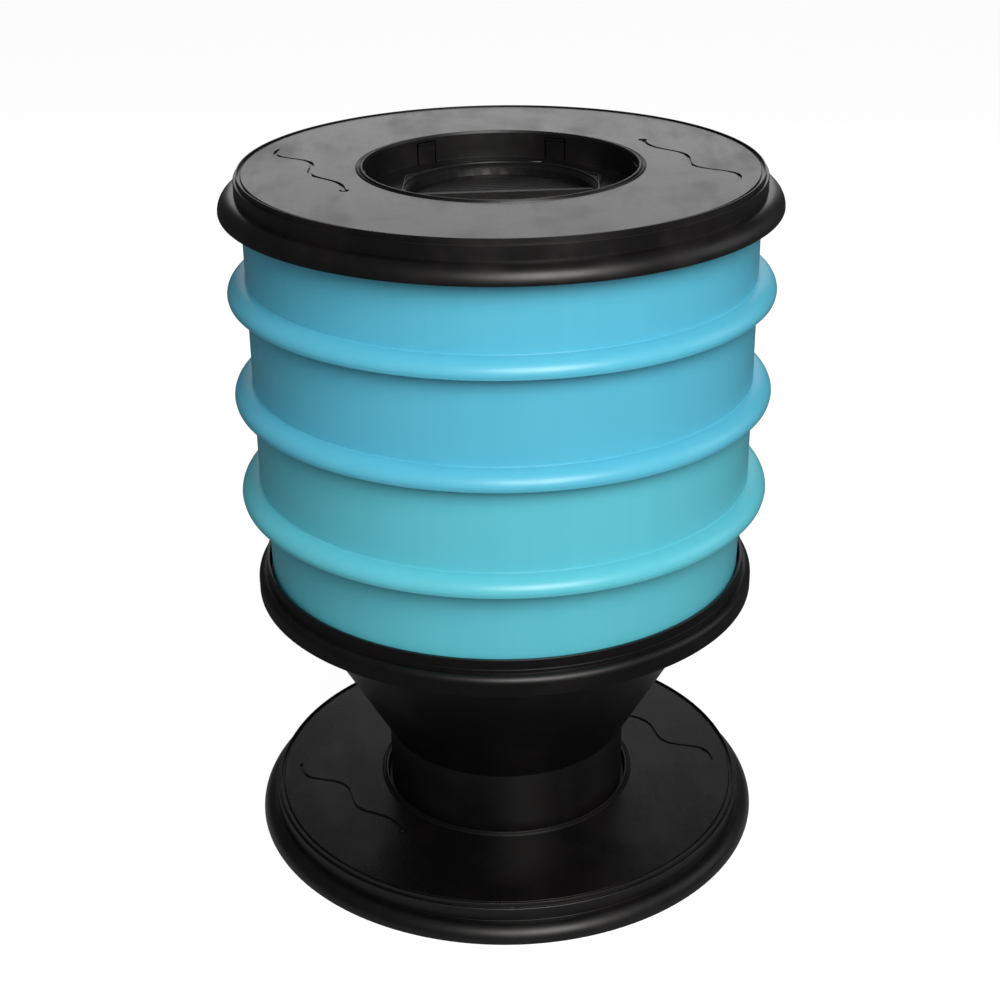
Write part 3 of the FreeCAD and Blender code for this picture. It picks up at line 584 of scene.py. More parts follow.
class Workshop:
    """Makes meshes: turned, extruded and carved."""

    def turned(self, points: Sequence[Point]) -> Solid:
        """Turns a closed outline about the upright axis.

        Args:
            points: Radius and height of each point, in millimetres.

        Returns:
            The turned solid.
        """
        work = bmesh.new()
        rings = []
        for cosine, sine in circle(1.0, TURN_STEPS):
            rings.append([
                work.verts.new((radius * (cosine * MM), radius * (sine * MM), height * MM))
                for radius, height in points
            ])
        join_rings(work, rings)
        return work

    def prism(self, corners: Sequence[Sequence[float]], push: Sequence[float]) -> Solid:
        """Pushes a flat outline along a line.

        Args:
            corners: The outline's points, in millimetres.
            push: How far and where it is pushed, in millimetres.

        Returns:
            The solid.
        """
        work = bmesh.new()
        first = [work.verts.new(Vector(corner) * MM) for corner in corners]
        last = [work.verts.new((Vector(corner) + Vector(push)) * MM) for corner in corners]
        work.faces.new(first)
        work.faces.new(last)
        count = len(corners)
        for index in range(count):
            other = (index + 1) % count
            work.faces.new((first[index], first[other], last[other], last[index]))
        bmesh.ops.recalc_face_normals(work, faces=work.faces)
        return work

    def block(self, low: Sequence[float], high: Sequence[float]) -> Solid:
        """A block between two opposite corners, in millimetres."""
        sides = ((low[0], low[1]), (high[0], low[1]), (high[0], high[1]), (low[0], high[1]))
        return self.prism([(x, y, low[2]) for x, y in sides], (0.0, 0.0, high[2] - low[2]))

    def beaded(self, route: Sequence[Point], height: float, radius: float) -> Solid:
        """Makes a half-round bead along a closed route on a flat face.

        Args:
            route: The points of the route, counter-clockwise, in millimetres.
            height: The height of the face.
            radius: The radius of the bead.

        Returns:
            The bead as a closed solid, its foot a little under the face.
        """
        work = bmesh.new()
        turns = [math.pi * step / BEAD_STEPS for step in range(BEAD_STEPS + 1)]
        profile = [(radius * math.cos(turn), radius * math.sin(turn)) for turn in turns]
        profile = [(radius, -BEAD_SUNK), *profile, (-radius, -BEAD_SUNK)]
        rings = []
        for index, (x, y) in enumerate(route):
            (x0, y0), (x1, y1) = route[index - 1], route[(index + 1) % len(route)]
            length = math.hypot(x1 - x0, y1 - y0)
            out = ((y1 - y0) / length, (x0 - x1) / length)
            rings.append([
                work.verts.new(((x + out[0] * a) * MM, (y + out[1] * a) * MM, (height + b) * MM))
                for a, b in profile
            ])
        join_rings(work, rings)
        return work

    def gathered(self, solids: Iterable[Solid]) -> Solid:
        """Puts several solids in one mesh and frees them.

        Args:
            solids: The solids.

        Returns:
            The one mesh.
        """
        whole = bmesh.new()
        for solid in solids:
            mesh = bpy.data.meshes.new("part")
            solid.to_mesh(mesh)
            whole.from_mesh(mesh)
            bpy.data.meshes.remove(mesh)
            solid.free()
        return whole

    def ringed(self, solid: Solid, count: int, first: float = 0.0) -> Solid:
        """Copies a solid at equal steps about the upright axis, and frees it.

        Args:
            solid: The solid at angle 0.
            count: How many copies there are.
            first: Angle of the first copy, in degrees.

        Returns:
            All the copies in one mesh.
        """
        copies = []
        for index in range(count):
            copy = solid.copy()
            turn = Matrix.Rotation(math.radians(first + 360.0 * index / count), 4, "Z")
            bmesh.ops.transform(copy, matrix=turn, verts=copy.verts)
            copies.append(copy)
        solid.free()
        return self.gathered(copies)

    def carved(self, solid: Solid, tool: Solid, how: Carve) -> Solid:
        """Cuts or joins one solid with another, and frees both.

        Args:
            solid: The solid to work on.
            tool: The solid that cuts it or joins it.
            how: Which of the two.

        Returns:
            The result.
        """
        holders = []
        for work in (solid, tool):
            mesh = bpy.data.meshes.new("work")
            work.to_mesh(mesh)
            work.free()
            holders.append(new_object("work", mesh))
        modifier = holders[0].modifiers.new("carve", "BOOLEAN")
        modifier.object = holders[1]
        modifier.operation = how.value
        modifier.solver = "EXACT"
        found = as_seen(holders[0])
        for holder in holders:
            mesh = holder.data
            bpy.data.objects.remove(holder)
            bpy.data.meshes.remove(mesh)
        return found

    def slotted_plate(self, radius: float, low: float, high: float, slots: Sequence[list[Point]]) -> Solid:
        """A flat round plate with holes, its hole edges softened.

        Args:
            radius: Radius of the plate, in millimetres.
            low: Height of its underside.
            high: Height of its top.
            slots: The outline of each hole.

        Returns:
            The plate.
        """
        curve = bpy.data.curves.new("plate", "CURVE")
        curve.dimensions = "2D"
        curve.fill_mode = "BOTH"
        curve.extrude = ((high - low) / 2 - PLATE_SOFT) * MM
        curve.bevel_depth = PLATE_SOFT * MM
        curve.bevel_resolution = 1
        curve.offset = -PLATE_SOFT * MM
        for outline in [circle(radius + PLATE_SOFT, TURN_STEPS), *slots]:
            spline = curve.splines.new("POLY")
            spline.points.add(len(outline) - 1)
            for point, (x, y) in zip(spline.points, outline):
                point.co = (x * MM, y * MM, 0.0, 1.0)
            spline.use_cyclic_u = True
        holder = new_object("plate", curve)
        work = as_seen(holder)
        bmesh.ops.translate(work, vec=(0.0, 0.0, (low + high) / 2 * MM), verts=work.verts)
        bmesh.ops.remove_doubles(work, verts=work.verts, dist=PLATE_SEAM)
        bmesh.ops.recalc_face_normals(work, faces=work.faces)
        bpy.data.objects.remove(holder)
        bpy.data.curves.remove(curve)
        return work

    def piece(self, name: str, work: Solid, move: Matrix = Matrix.Identity(4)) -> bpy.types.Object:
        """Makes an object of a mesh, smooth but for its sharp edges.

        Args:
            name: Name of the object.
            work: The mesh, which stays as it is.
            move: Where it goes, in metres.

        Returns:
            The object, in the scene.
        """
        mesh = bpy.data.meshes.new(name)
        work.to_mesh(mesh)
        mesh.transform(move)
        mesh.shade_smooth()
        mesh.set_sharp_from_angle(angle=SMOOTH_ANGLE)
        made = new_object(name, mesh)
        normals = made.modifiers.new("even normals", "WEIGHTED_NORMAL")
        normals.keep_sharp = True
        normals.weight = NORMAL_WEIGHT
        return made


SHOP = Workshop()


def carry(
    piece: bpy.types.Object, body: str, slot: Slot, palette: Palette, node: str | None = None,
) -> None:
    """Lets a piece move with a body, in the finish of its slot.

    Args:
        piece: The new piece.
        body: The body that it moves with.
        slot: Its material slot.
        palette: The finishes.
        node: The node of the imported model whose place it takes, if any.
    """
    if node is not None:
        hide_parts(node)
    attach(piece, body)
    palette.dress(piece, slot)
    LOG.info("%s moves with %s, %d faces", piece.name, body, len(piece.data.polygons))


def keep_node(node: str, slot: Slot, palette: Palette, soften: float) -> None:
    """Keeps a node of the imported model, with softened edges and a better finish.

    Args:
        node: The node's name.
        slot: Its material slot.
        palette: The finishes.
        soften: Width of the softened edges, in millimetres; 0 leaves them sharp.
    """
    piece = bpy.data.objects[node]
    weld = piece.modifiers.new("weld", "WELD")
    weld.merge_threshold = NODE_SEAM
    if soften > 0.0:
        bevel = piece.modifiers.new("soft edges", "BEVEL")
        bevel.width = soften * MM
        bevel.segments = EDGE_SEGMENTS
        bevel.limit_method = "ANGLE"
        bevel.angle_limit = BEVEL_ANGLE
        bevel.harden_normals = True
    palette.dress(piece, slot)
    LOG.info("%s keeps its own mesh, %d faces", node, len(piece.data.polygons))


@dataclass
class Disc:
    """The flat moulding that is the foot and the lid."""

    lip_height: float = 1.0
    lip_taper: float = 0.3
    flare: float = 11.5
    ledge: float = 0.7
    wall_inner: float = 185.3
    wall: float = 2.5
    wall_height: float = 10.5
    band_height: float = 3.4
    band_step: float = 2.2
    band_draft: float = 0.2
    rim_width: float = 1.0
    rim_rise: float = 0.9
    rim_draft: float = 0.1
    groove_width: float = 2.4
    groove_depth: float = 1.4
    groove_draft: float = 0.3
    plate: float = 2.6
    seat_height: float = 2.3
    mouth: float = 97.0
    mouth_lip: float = 1.9
    mouth_rise: float = 1.2
    mouth_draft: float = 0.1
    mouth_bevel: float = 0.6
    ring_width: float = 4.6
    ring_step: float = 0.7
    ring_draft: float = 0.5
    crease_width: float = 0.9
    crease_depth: float = 0.6
    hollow_width: float = 0.3
    hollow_depth: float = 0.5
    recess_depth: float = 19.9
    hole: float = 68.0
    rib_count: int = 12
    rib_angle: float = 15.0
    rib_width: float = 2.2
    rib_depth: float = 6.0
    rib_outer: float = 176.5
    rib_from_mouth: float = 1.2
    rib_root: float = 0.4
    seat_root: float = 0.6
    finger_count: int = 6
    finger_angle: float = 5.0
    finger_width: float = 14.5
    finger_stand: float = 0.7
    slit: float = 1.2
    slit_room: float = 2.0
    hook_reach: float = 1.6
    hook_under: float = 20.7
    hook_top: float = 22.1
    hook_slope: float = 0.6
    hook_bevel: float = 0.2
    wave_count: int = 2
    wave_steps: int = 96
    wave_tail: Point = (169.4, 162.8)
    wave_head: Point = (124.8, 212.6)
    wave_periods: float = 2.0
    wave_swing: float = 8.5
    wave_fade: float = 0.65
    wave_width: float = 3.0
    wave_depth: float = 1.1
    wave_cutter: float = 3.0
    dot_radius: float = 3.4
    dot_depth: float = 2.2
    dot_cutter: float = 4.0
    dot_steps: int = 32

    @property
    def wall_outer(self) -> float:
        """Outer radius of the wall."""
        return self.wall_inner + self.wall

    @property
    def ledge_z(self) -> float:
        """Height of the ledge."""
        return self.lip_height + self.flare

    @property
    def band_z(self) -> float:
        """Height of the small step below the rim."""
        return self.ledge_z + self.wall_height

    @property
    def rim_z(self) -> float:
        """Height of the rim."""
        return self.band_z + self.band_height

    @property
    def top_z(self) -> float:
        """Height of the plate's top."""
        return self.rim_z - self.rim_rise

    @property
    def under_z(self) -> float:
        """Height of the plate's underside."""
        return self.top_z - self.plate

    @property
    def floor_z(self) -> float:
        """Height of the floor of the recess."""
        return self.top_z + self.ring_step - self.recess_depth

    def outline(self) -> Outline:
        """Draws the section, from the lip up over the rim and down into the recess, and back below.

        Returns:
            The section.
        """
        outer = self.wall_outer
        widest = outer + self.ledge + self.flare
        centre = (widest - self.flare, self.lip_height)
        band = outer - self.band_step
        groove_out = band - self.rim_width
        groove_in = groove_out - self.groove_width
        groove_z = self.top_z - self.groove_depth
        ring_out, ring_z = self.mouth + self.ring_width, self.top_z + self.ring_step
        lip_out, lip_z = self.mouth + self.mouth_lip, self.top_z + self.mouth_rise
        inner_flare = self.flare - self.wall
        section = Outline()
        section.to((widest - self.lip_taper - self.wall, 0.0, 0.5), (widest - self.lip_taper, 0.0, 0.6))
        section.oval(centre, (self.flare, self.flare), 0.0, 90.0, 14)
        section.to(
            (outer, self.ledge_z, 0.35), (outer, self.band_z, 1.1),
            (band + self.band_draft, self.band_z, 0.25), (band, self.rim_z, 0.9),
            (groove_out + self.rim_draft, self.rim_z, 0.30), (groove_out, groove_z, 0.25),
            (groove_in + self.groove_draft, groove_z, 0.25), (groove_in, self.top_z, 0.35),
            (ring_out + self.crease_width, self.top_z, 0.3),
            (ring_out, self.top_z - self.crease_depth, 0.2), (ring_out - self.ring_draft, ring_z, 0.4),
            (lip_out + self.hollow_width, self.top_z - self.hollow_depth, 0.3),
            (lip_out - self.mouth_draft, lip_z - self.mouth_draft, 0.3),
            (self.mouth + self.mouth_bevel, lip_z, 0.5), (self.mouth, self.top_z - self.mouth_bevel, 0.5),
            (self.mouth, self.floor_z, 0.8), (self.hole, self.floor_z, 0.3),
            (self.hole, self.floor_z - self.wall, 0.3),
            (self.mouth + self.wall, self.floor_z - self.wall, 0.8),
            (self.mouth + self.wall, self.under_z, 0.5), (self.wall_inner, self.under_z, 0.5),
            (self.wall_inner, self.ledge_z - self.wall, 0.4),
        )
        section.oval(centre, (inner_flare, inner_flare), 90.0, 0.0, 10)
        return section

    def finger_cutters(self) -> Solid:
        """Makes what is cut for the thin slits round the snap fingers.

        Returns:
            The cutters.
        """
        half = self.finger_width / 2
        low, top, inner = self.floor_z, self.under_z, self.mouth - self.slit_room
        edge, lintel = half + self.slit, top - self.slit
        sides = (
            (-edge, low), (-edge, top), (edge, top), (edge, low),
            (half, low), (half, lintel), (-half, lintel), (-half, low),
        )
        cutter = SHOP.prism([(inner, y, z) for y, z in sides], (self.wall + 2 * self.slit_room, 0.0, 0.0))
        return SHOP.ringed(cutter, self.finger_count, self.finger_angle)

    def hooks(self) -> Solid:
        """Makes the hooks of the snap fingers.

        Returns:
            The hooks.
        """
        half = self.finger_width / 2
        root, tip = self.mouth + self.wall / 2, self.mouth - self.hook_reach
        face = self.mouth - self.finger_stand
        profile = (
            (root, self.floor_z), (face, self.floor_z), (face, self.hook_under - self.hook_slope),
            (tip, self.hook_under), (tip, self.hook_top - self.hook_bevel),
            (tip + self.hook_bevel, self.hook_top), (root, self.hook_top),
        )
        hook = SHOP.prism([(x, -half, z) for x, z in profile], (0.0, self.finger_width, 0.0))
        return SHOP.ringed(hook, self.finger_count, self.finger_angle)

    def ribs(self) -> Solid:
        """Makes the ribs under the plate, with their shallow seats.

        Returns:
            The ribs.
        """
        half, root, under = self.rib_width / 2, self.under_z + self.rib_root, self.under_z
        inner, outer = self.mouth + self.rib_from_mouth, self.wall_inner + self.seat_root
        deep = SHOP.block((inner, -half, under - self.rib_depth), (self.rib_outer, half, root))
        seat = SHOP.block((self.rib_outer, -half, under - self.seat_height), (outer, half, root))
        return SHOP.ringed(SHOP.gathered([deep, seat]), self.rib_count, self.rib_angle)

    def _wave_path(self) -> list[tuple[Vector, Vector]]:
        """Works out one wavy line.

        Returns:
            Its points, each with the direction across it.
        """
        ends = [
            Vector(rotated([(radius, 0.0)], math.radians(angle))[0])
            for radius, angle in (self.wave_tail, self.wave_head)
        ]
        line = ends[1] - ends[0]
        along = line.normalized()
        across = Vector((along.y, -along.x))
        path = []
        for index in range(self.wave_steps + 1):
            share = index / self.wave_steps
            swing = self.wave_swing * (1 - self.wave_fade * share)
            swing = swing * math.sin(2 * math.pi * self.wave_periods * share)
            path.append((ends[0] + line * share + across * swing, across))
        return path

    def wave_cutters(self) -> tuple[Solid, Solid]:
        """Makes what is cut for the wavy lines, and for the round dots at their heads.

        Returns:
            The cutters of the lines, and those of the dots.
        """
        path = self._wave_path()
        half = self.wave_width / 2
        left = [spot + across * half for spot, across in path]
        right = [spot - across * half for spot, across in path]
        low = self.top_z - self.wave_depth
        corners = [(spot.x, spot.y, low) for spot in left + right[::-1]]
        line = SHOP.prism(corners, (0.0, 0.0, self.wave_cutter))
        bmesh.ops.triangulate(line, faces=[face for face in line.faces if len(face.verts) > 4])
        low = self.top_z - self.dot_depth
        edge = circle(self.dot_radius, self.dot_steps, tuple(path[-1][0]))
        dot = SHOP.prism([(x, y, low) for x, y in edge], (0.0, 0.0, self.dot_cutter))
        return SHOP.ringed(line, self.wave_count), SHOP.ringed(dot, self.wave_count)

    def mesh(self) -> Solid:
        """Makes the whole moulding, standing on its lip.

        Returns:
            The moulding.
        """
        work = SHOP.turned(self.outline().points())
        work = SHOP.carved(work, self.finger_cutters(), Carve.CUT)
        lines, dots = self.wave_cutters()
        work = SHOP.carved(work, lines, Carve.CUT)
        work = SHOP.carved(work, dots, Carve.CUT)
        return SHOP.gathered([work, self.ribs(), self.hooks()])

    def build(self, palette: Palette, lid_z: float, foot_turn: float) -> None:
        """Makes the foot and the lid.

        Args:
            palette: The finishes.
            lid_z: Height of the lid's lip, in millimetres.
            foot_turn: How far the foot is turned, in degrees.
        """
        work = self.mesh()
        foot = SHOP.piece("foot_moulding", work, Matrix.Rotation(math.radians(foot_turn), 4, "Z"))
        lid = SHOP.piece("lid_moulding", work, Matrix.Translation((0.0, 0.0, lid_z * MM)))
        work.free()
        carry(foot, "stand", Slot.BLACK, palette, "base_disc")
        carry(lid, "lid", Slot.BLACK, palette, "lid")


@dataclass
class Tray:
    """One nesting tray. Its zero is the shoulder that rests on the tray below."""

    radius: float = 184.0
    wall: float = 2.5
    body_height: float = 77.1
    nest_fit: float = 1.5
    nest_draft: float = 1.2
    nest_depth: float = 74.0
    skirt_reach: float = 13.5
    skirt_ledge: float = 1.0
    skirt_height: float = 10.0
    skirt_drop: float = 3.0
    skirt_lip: float = 2.6
    lip_taper: float = 0.6
    crease_draft: float = 0.15
    crease_low: float = 0.55
    crease_high: float = 0.6
    slot_width: float = 6.0
    slot_length: float = 22.0
    slot_bevel: float = 1.0
    slot_from_centre: float = 29.0
    slot_from_wall: float = 17.3
    slot_rings: int = 4
    slot_first: int = 10
    slot_added: int = 8

    @property
    def nest_radius(self) -> float:
        """Outer radius of the nesting part at its top."""
        return self.radius - self.wall - self.nest_fit

    @property
    def nest_foot(self) -> float:
        """Outer radius of the nesting part at its floor."""
        return self.nest_radius - self.nest_draft

    def outline(self, plate_radius: float) -> Outline:
        """The section of everything but the middle of the floor.

        Args:
            plate_radius: Where the slotted plate begins.

        Returns:
            The section.
        """
        ledge_radius = self.radius + self.skirt_ledge
        widest, widest_z = self.radius + self.skirt_reach, -self.skirt_drop
        ledge_z = widest_z + self.skirt_height
        reach = widest - ledge_radius
        inner_reach = (reach - self.wall, self.skirt_height - self.wall)
        lip_z = widest_z - self.skirt_lip
        floor_z = -self.nest_depth
        mouth = self.radius - self.wall
        section = Outline()
        section.to(
            (plate_radius, floor_z), (self.nest_foot, floor_z, 2.2), (self.nest_radius, 0.0, 0.4),
            (self.radius, 0.0, 0.5),
        )
        section.oval((ledge_radius, widest_z), inner_reach, 85.0, 0.0, 12)
        section.to((widest - self.lip_taper - self.wall, lip_z, 0.5), (widest - self.lip_taper, lip_z, 0.6))
        section.oval((ledge_radius, widest_z), (reach, self.skirt_height), 0.0, 90.0, 18)
        section.to(
            (ledge_radius - self.crease_draft, ledge_z + self.crease_low, 0.2),
            (self.radius, ledge_z + self.crease_high, 0.3), (self.radius, self.body_height, 0.8),
            (mouth, self.body_height, 0.8), (mouth, self.wall, 0.6),
            (self.nest_radius - self.wall, self.wall, 0.6),
            (self.nest_foot - self.wall, floor_z + self.wall, 2.0), (plate_radius, floor_z + self.wall),
        )
        return section

    def slots(self) -> list[list[Point]]:
        """Lays out the drain slots, with their corners cut off.

        Returns:
            The outline of each slot.
        """
        outer = self.nest_foot - self.wall - self.slot_from_wall
        step = (outer - self.slot_from_centre - self.slot_length) / (self.slot_rings - 1)
        half, soft = self.slot_width / 2, self.slot_bevel
        found = []
        for ring in range(self.slot_rings):
            start = self.slot_from_centre + ring * step
            end = start + self.slot_length
            shape = [
                (start, -half + soft), (start + soft, -half), (end - soft, -half), (end, -half + soft),
                (end, half - soft), (end - soft, half), (start + soft, half), (start, half - soft),
            ]
            count = self.slot_first + ring * self.slot_added
            found += [rotated(shape, 2 * math.pi * index / count) for index in range(count)]
        return found

    def mesh(self) -> Solid:
        """Makes the whole tray.

        Returns:
            The tray, with its shoulder at height 0.
        """
        plate_radius = self.nest_foot - self.wall - self.slot_from_wall / 2
        shell = SHOP.turned(self.outline(plate_radius).points())
        ends = [
            face for face in shell.faces
            if all(abs(math.hypot(*vert.co.xy) - plate_radius * MM) < NEAR_ZERO for vert in face.verts)
        ]
        bmesh.ops.delete(shell, geom=ends, context="FACES")
        floor_z = -self.nest_depth
        plate = SHOP.slotted_plate(plate_radius, floor_z, floor_z + self.wall, self.slots())
        return SHOP.gathered([shell, plate])

    def build(self, palette: Palette, levels: dict[str, tuple[float, Slot]]) -> None:
        """Makes each tray.

        Args:
            palette: The finishes.
            levels: Height of the shoulder and finish of each tray, by its node.
        """
        work = self.mesh()
        for node, (height, slot) in levels.items():
            piece = SHOP.piece(node + "_moulding", work, Matrix.Translation((0.0, 0.0, height * MM)))
            carry(piece, node, slot, palette, node)
        work.free()


@dataclass
class Collector:
    """The funnel that gathers the liquid: neck, cone, shelf, rim, skirt and the flat boss of the tap."""

    foot_z: float = 6.3
    neck_top: float = 76.6
    neck_radius: float = 94.1
    bead_radius: float = 96.4
    bead_top: float = 20.4
    bead_bevel: float = 1.0
    wall: float = 2.5
    floor: float = 2.8
    cone_step: float = 1.4
    cone_height: float = 137.1
    cone_top: float = 171.2
    mouth: float = 181.0
    rim_height: float = 13.7
    ledge_drop: float = 7.5
    ledge: float = 0.7
    skirt_reach: float = 6.5
    skirt_height: float = 16.2
    skirt_curl: float = 5.8
    curl_z: float = 213.9
    curl_end: float = 88.0
    curl_step: float = 0.1
    skirt_lip: float = 1.3
    tap_z: float = 103.6
    boss_radius: float = 20.0
    boss_pocket: float = 17.0
    boss_face: float = 3.5
    boss_proud: float = 13.0
    boss_root: float = 1.4
    pocket_reach: float = 14.0
    shank_hole: float = 10.5
    hole_reach: float = 8.0
    hole_past: float = 2.0

    @property
    def slope(self) -> float:
        """How far the cone widens for each millimetre up."""
        return (self.cone_top - self.neck_radius - self.cone_step) / self.cone_height

    def cone(self, height: float) -> float:
        """Outer radius of the cone at a height."""
        return self.neck_radius + self.cone_step + self.slope * (height - self.neck_top)

    def outline(self) -> Outline:
        """Draws the section, closed at the axis by the floor.

        Returns:
            The section.
        """
        shelf_under = self.neck_top + self.cone_height
        shelf, rim_radius = shelf_under + self.wall, self.mouth + self.wall
        rim_z = shelf + self.rim_height
        ledge_z, ledge_radius = rim_z - self.ledge_drop, rim_radius + self.ledge
        skirt, skirt_z = rim_radius + self.skirt_reach, ledge_z - self.skirt_height
        across = self.wall * math.hypot(1.0, self.slope)
        inner_neck = self.neck_radius - self.wall
        floor_z = self.neck_top + self.floor
        section = Outline()
        section.to(
            (inner_neck, self.foot_z, 0.4), (self.bead_radius - self.bead_bevel, self.foot_z),
            (self.bead_radius, self.foot_z + self.bead_bevel), (self.bead_radius, self.bead_top, 0.4),
            (self.neck_radius, self.bead_top, 0.4), (self.neck_radius, self.neck_top - self.cone_step, 0.8),
            (self.neck_radius + self.cone_step, self.neck_top, 0.8), (self.cone_top, shelf_under, 1.0),
            (rim_radius, shelf_under, 1.2), (rim_radius, ledge_z - self.wall, 0.5),
            (skirt - self.wall, skirt_z, 0.5), (skirt - self.wall, skirt_z - self.skirt_lip, 0.5),
            (skirt, skirt_z - self.skirt_lip, 0.6),
        )
        curl = (self.skirt_curl, self.skirt_curl)
        section.oval((skirt - self.skirt_curl, self.curl_z), curl, 0.0, self.curl_end, 14)
        section.to(
            (ledge_radius, self.curl_z + self.skirt_curl + self.curl_step, 0.2),
            (ledge_radius, ledge_z, 0.25), (rim_radius, ledge_z, 0.3), (rim_radius, rim_z, 0.7),
            (self.mouth, rim_z, 0.7), (self.mouth, shelf, 1.0), (self.cone(shelf) - across, shelf, 1.2),
            (self.cone(floor_z) - across, floor_z, 2.5), (0.0, floor_z), (0.0, self.neck_top),
            (inner_neck, self.neck_top, 1.0),
        )
        return section

    def _tube(self, radius: float, start: float, end: float) -> Solid:
        """A round bar along the tap's line, from one depth to another."""
        edge = circle(radius, TUBE_STEPS, (0.0, self.tap_z))
        return SHOP.prism([(x, start, z) for x, z in edge], (0.0, end - start, 0.0))

    def build(self, palette: Palette) -> None:
        """Makes the collector.

        Args:
            palette: The finishes.
        """
        face_y = self.cone(self.tap_z) + self.boss_proud
        inner_y = self.cone(self.tap_z) - self.boss_root
        boss = self._tube(self.boss_radius, inner_y, face_y)
        pocket = self._tube(self.boss_pocket, inner_y - self.pocket_reach, face_y - self.boss_face)
        hole = self._tube(self.shank_hole, face_y - self.hole_reach, face_y + self.hole_past)
        work = SHOP.turned(self.outline().points())
        for tool, how in ((boss, Carve.JOIN), (pocket, Carve.CUT), (hole, Carve.CUT)):
            work = SHOP.carved(work, tool, how)
        piece = SHOP.piece("collector_moulding", work)
        work.free()
        carry(piece, "stand", Slot.BLACK, palette, "collector")


@dataclass
class Tap:
    """The drain tap at the back: its own nodes, with small mouldings added to them."""

    valve_y: float = 152.908
    lever_top: float = 122.15
    lever_length: float = 42.0
    ridge_count: int = 5
    ridge_inset: float = 3.0
    ridge_pitch: float = 3.2
    ridge_reach: float = 3.4
    ridge_growth: float = 0.15
    ridge_foot: Point = (0.6, -0.2)
    ridge_crest: Point = (0.3, 0.4)
    nodes: dict[str, tuple[Slot, float]] = field(default_factory=lambda: {
        "tap_body": (Slot.TAP_BLACK, 0.35),
        "tap_plug": (Slot.TAP_GREY, 0.35),
        "tap_nut": (Slot.TAP_BLACK, 0.3),
        "tap_plug_ring": (Slot.RUBBER, 0.0),
        "tap_seal_outer": (Slot.RUBBER, 0.2),
        "tap_seal_inner": (Slot.RUBBER, 0.2),
    })

    def lever_ridges(self) -> Solid:
        """Makes low ridges across the lever, for the thumb.

        Returns:
            The ridges.
        """
        foot, foot_z = self.ridge_foot
        crest, crest_z = self.ridge_crest
        profile = ((-foot, foot_z), (-crest, crest_z), (crest, crest_z), (foot, foot_z))
        ridges = []
        for index in range(self.ridge_count):
            x = self.lever_length - self.ridge_inset - self.ridge_pitch * index
            half = self.ridge_reach + self.ridge_growth * index
            section = [(x + out, self.valve_y - half, self.lever_top + up) for out, up in profile]
            ridges.append(SHOP.prism(section, (0.0, 2 * half, 0.0)))
        return SHOP.gathered(ridges)

    def build(self, palette: Palette) -> None:
        """Dresses the tap's nodes and adds the ridges.

        Args:
            palette: The finishes.
        """
        for node, (slot, soften) in self.nodes.items():
            keep_node(node, slot, palette, soften)
        work = self.lever_ridges()
        ridges = SHOP.piece("tap_lever_ridges", work)
        work.free()
        carry(ridges, "tap_plug", Slot.TAP_GREY, palette)


@dataclass
class InnerPieces:
    """The vent cap and the strainer, with their own meshes, and the thin beads on the cap's rim and well."""

    cap_soften: float = 0.35
    strainer_soften: float = 0.0
    cap_corners: int = 8
    cap_turn: float = -1.5
    cap_corner: float = 78.0
    cap_side: float = 70.6
    cap_top: float = 510.2
    side_steps: int = 24
    bead: float = 1.1

    def _rim_path(self) -> list[Point]:
        """Follows the rim's hollow sides, a bead's radius inside its edge.

        Returns:
            The points, counter-clockwise.
        """
        half = math.pi / self.cap_corners
        corner_reach = self.cap_corner - 2 * self.bead
        near, far = self.cap_side - self.bead, corner_reach * math.cos(half)
        reach = corner_reach * math.sin(half)
        shares = [2 * step / self.side_steps - 1 for step in range(self.side_steps)]
        side = [(near + (far - near) * share * share, reach * share) for share in shares]
        turns = [math.radians(self.cap_turn) + 2 * half * corner for corner in range(self.cap_corners)]
        return [point for turn in turns for point in rotated(side, turn)]

    def build(self, palette: Palette) -> None:
        """Dresses both.

        Args:
            palette: The finishes.
        """
        keep_node("vent_cap", Slot.BLACK, palette, self.cap_soften)
        well = circle(self.cap_side - self.bead, TURN_STEPS)
        for name, route in (("vent_cap_rim_bead", self._rim_path()), ("vent_cap_well_bead", well)):
            work = SHOP.beaded(route, self.cap_top, self.bead)
            bead = SHOP.piece(name, work)
            work.free()
            carry(bead, "vent_cap", Slot.BLACK, palette)
        keep_node("strainer", Slot.BLACK, palette, self.strainer_soften)


@dataclass(frozen=True)
class Lamp:
    """One soft lamp that points at the object; shines: it shows in gloss; fills: it lights matt faces."""

    name: str
    place: Triple
    width: float
    power: float
    colour: Colour = WHITE
    shines: bool = True
    fills: bool = True

    def build(self, aim: Vector) -> None:
        """Makes the lamp.

        Args:
            aim: The point that it faces.
        """
        light = bpy.data.lights.new(self.name, "AREA")
        light.shape = "DISK"
        light.size = self.width
        light.energy = self.power
        light.color = self.colour
        holder = new_object(self.name, light)
        holder.location = self.place
        holder.rotation_euler = (aim - Vector(self.place)).to_track_quat("-Z", "Y").to_euler()
        holder.visible_glossy = self.shines
        holder.visible_diffuse = self.fills


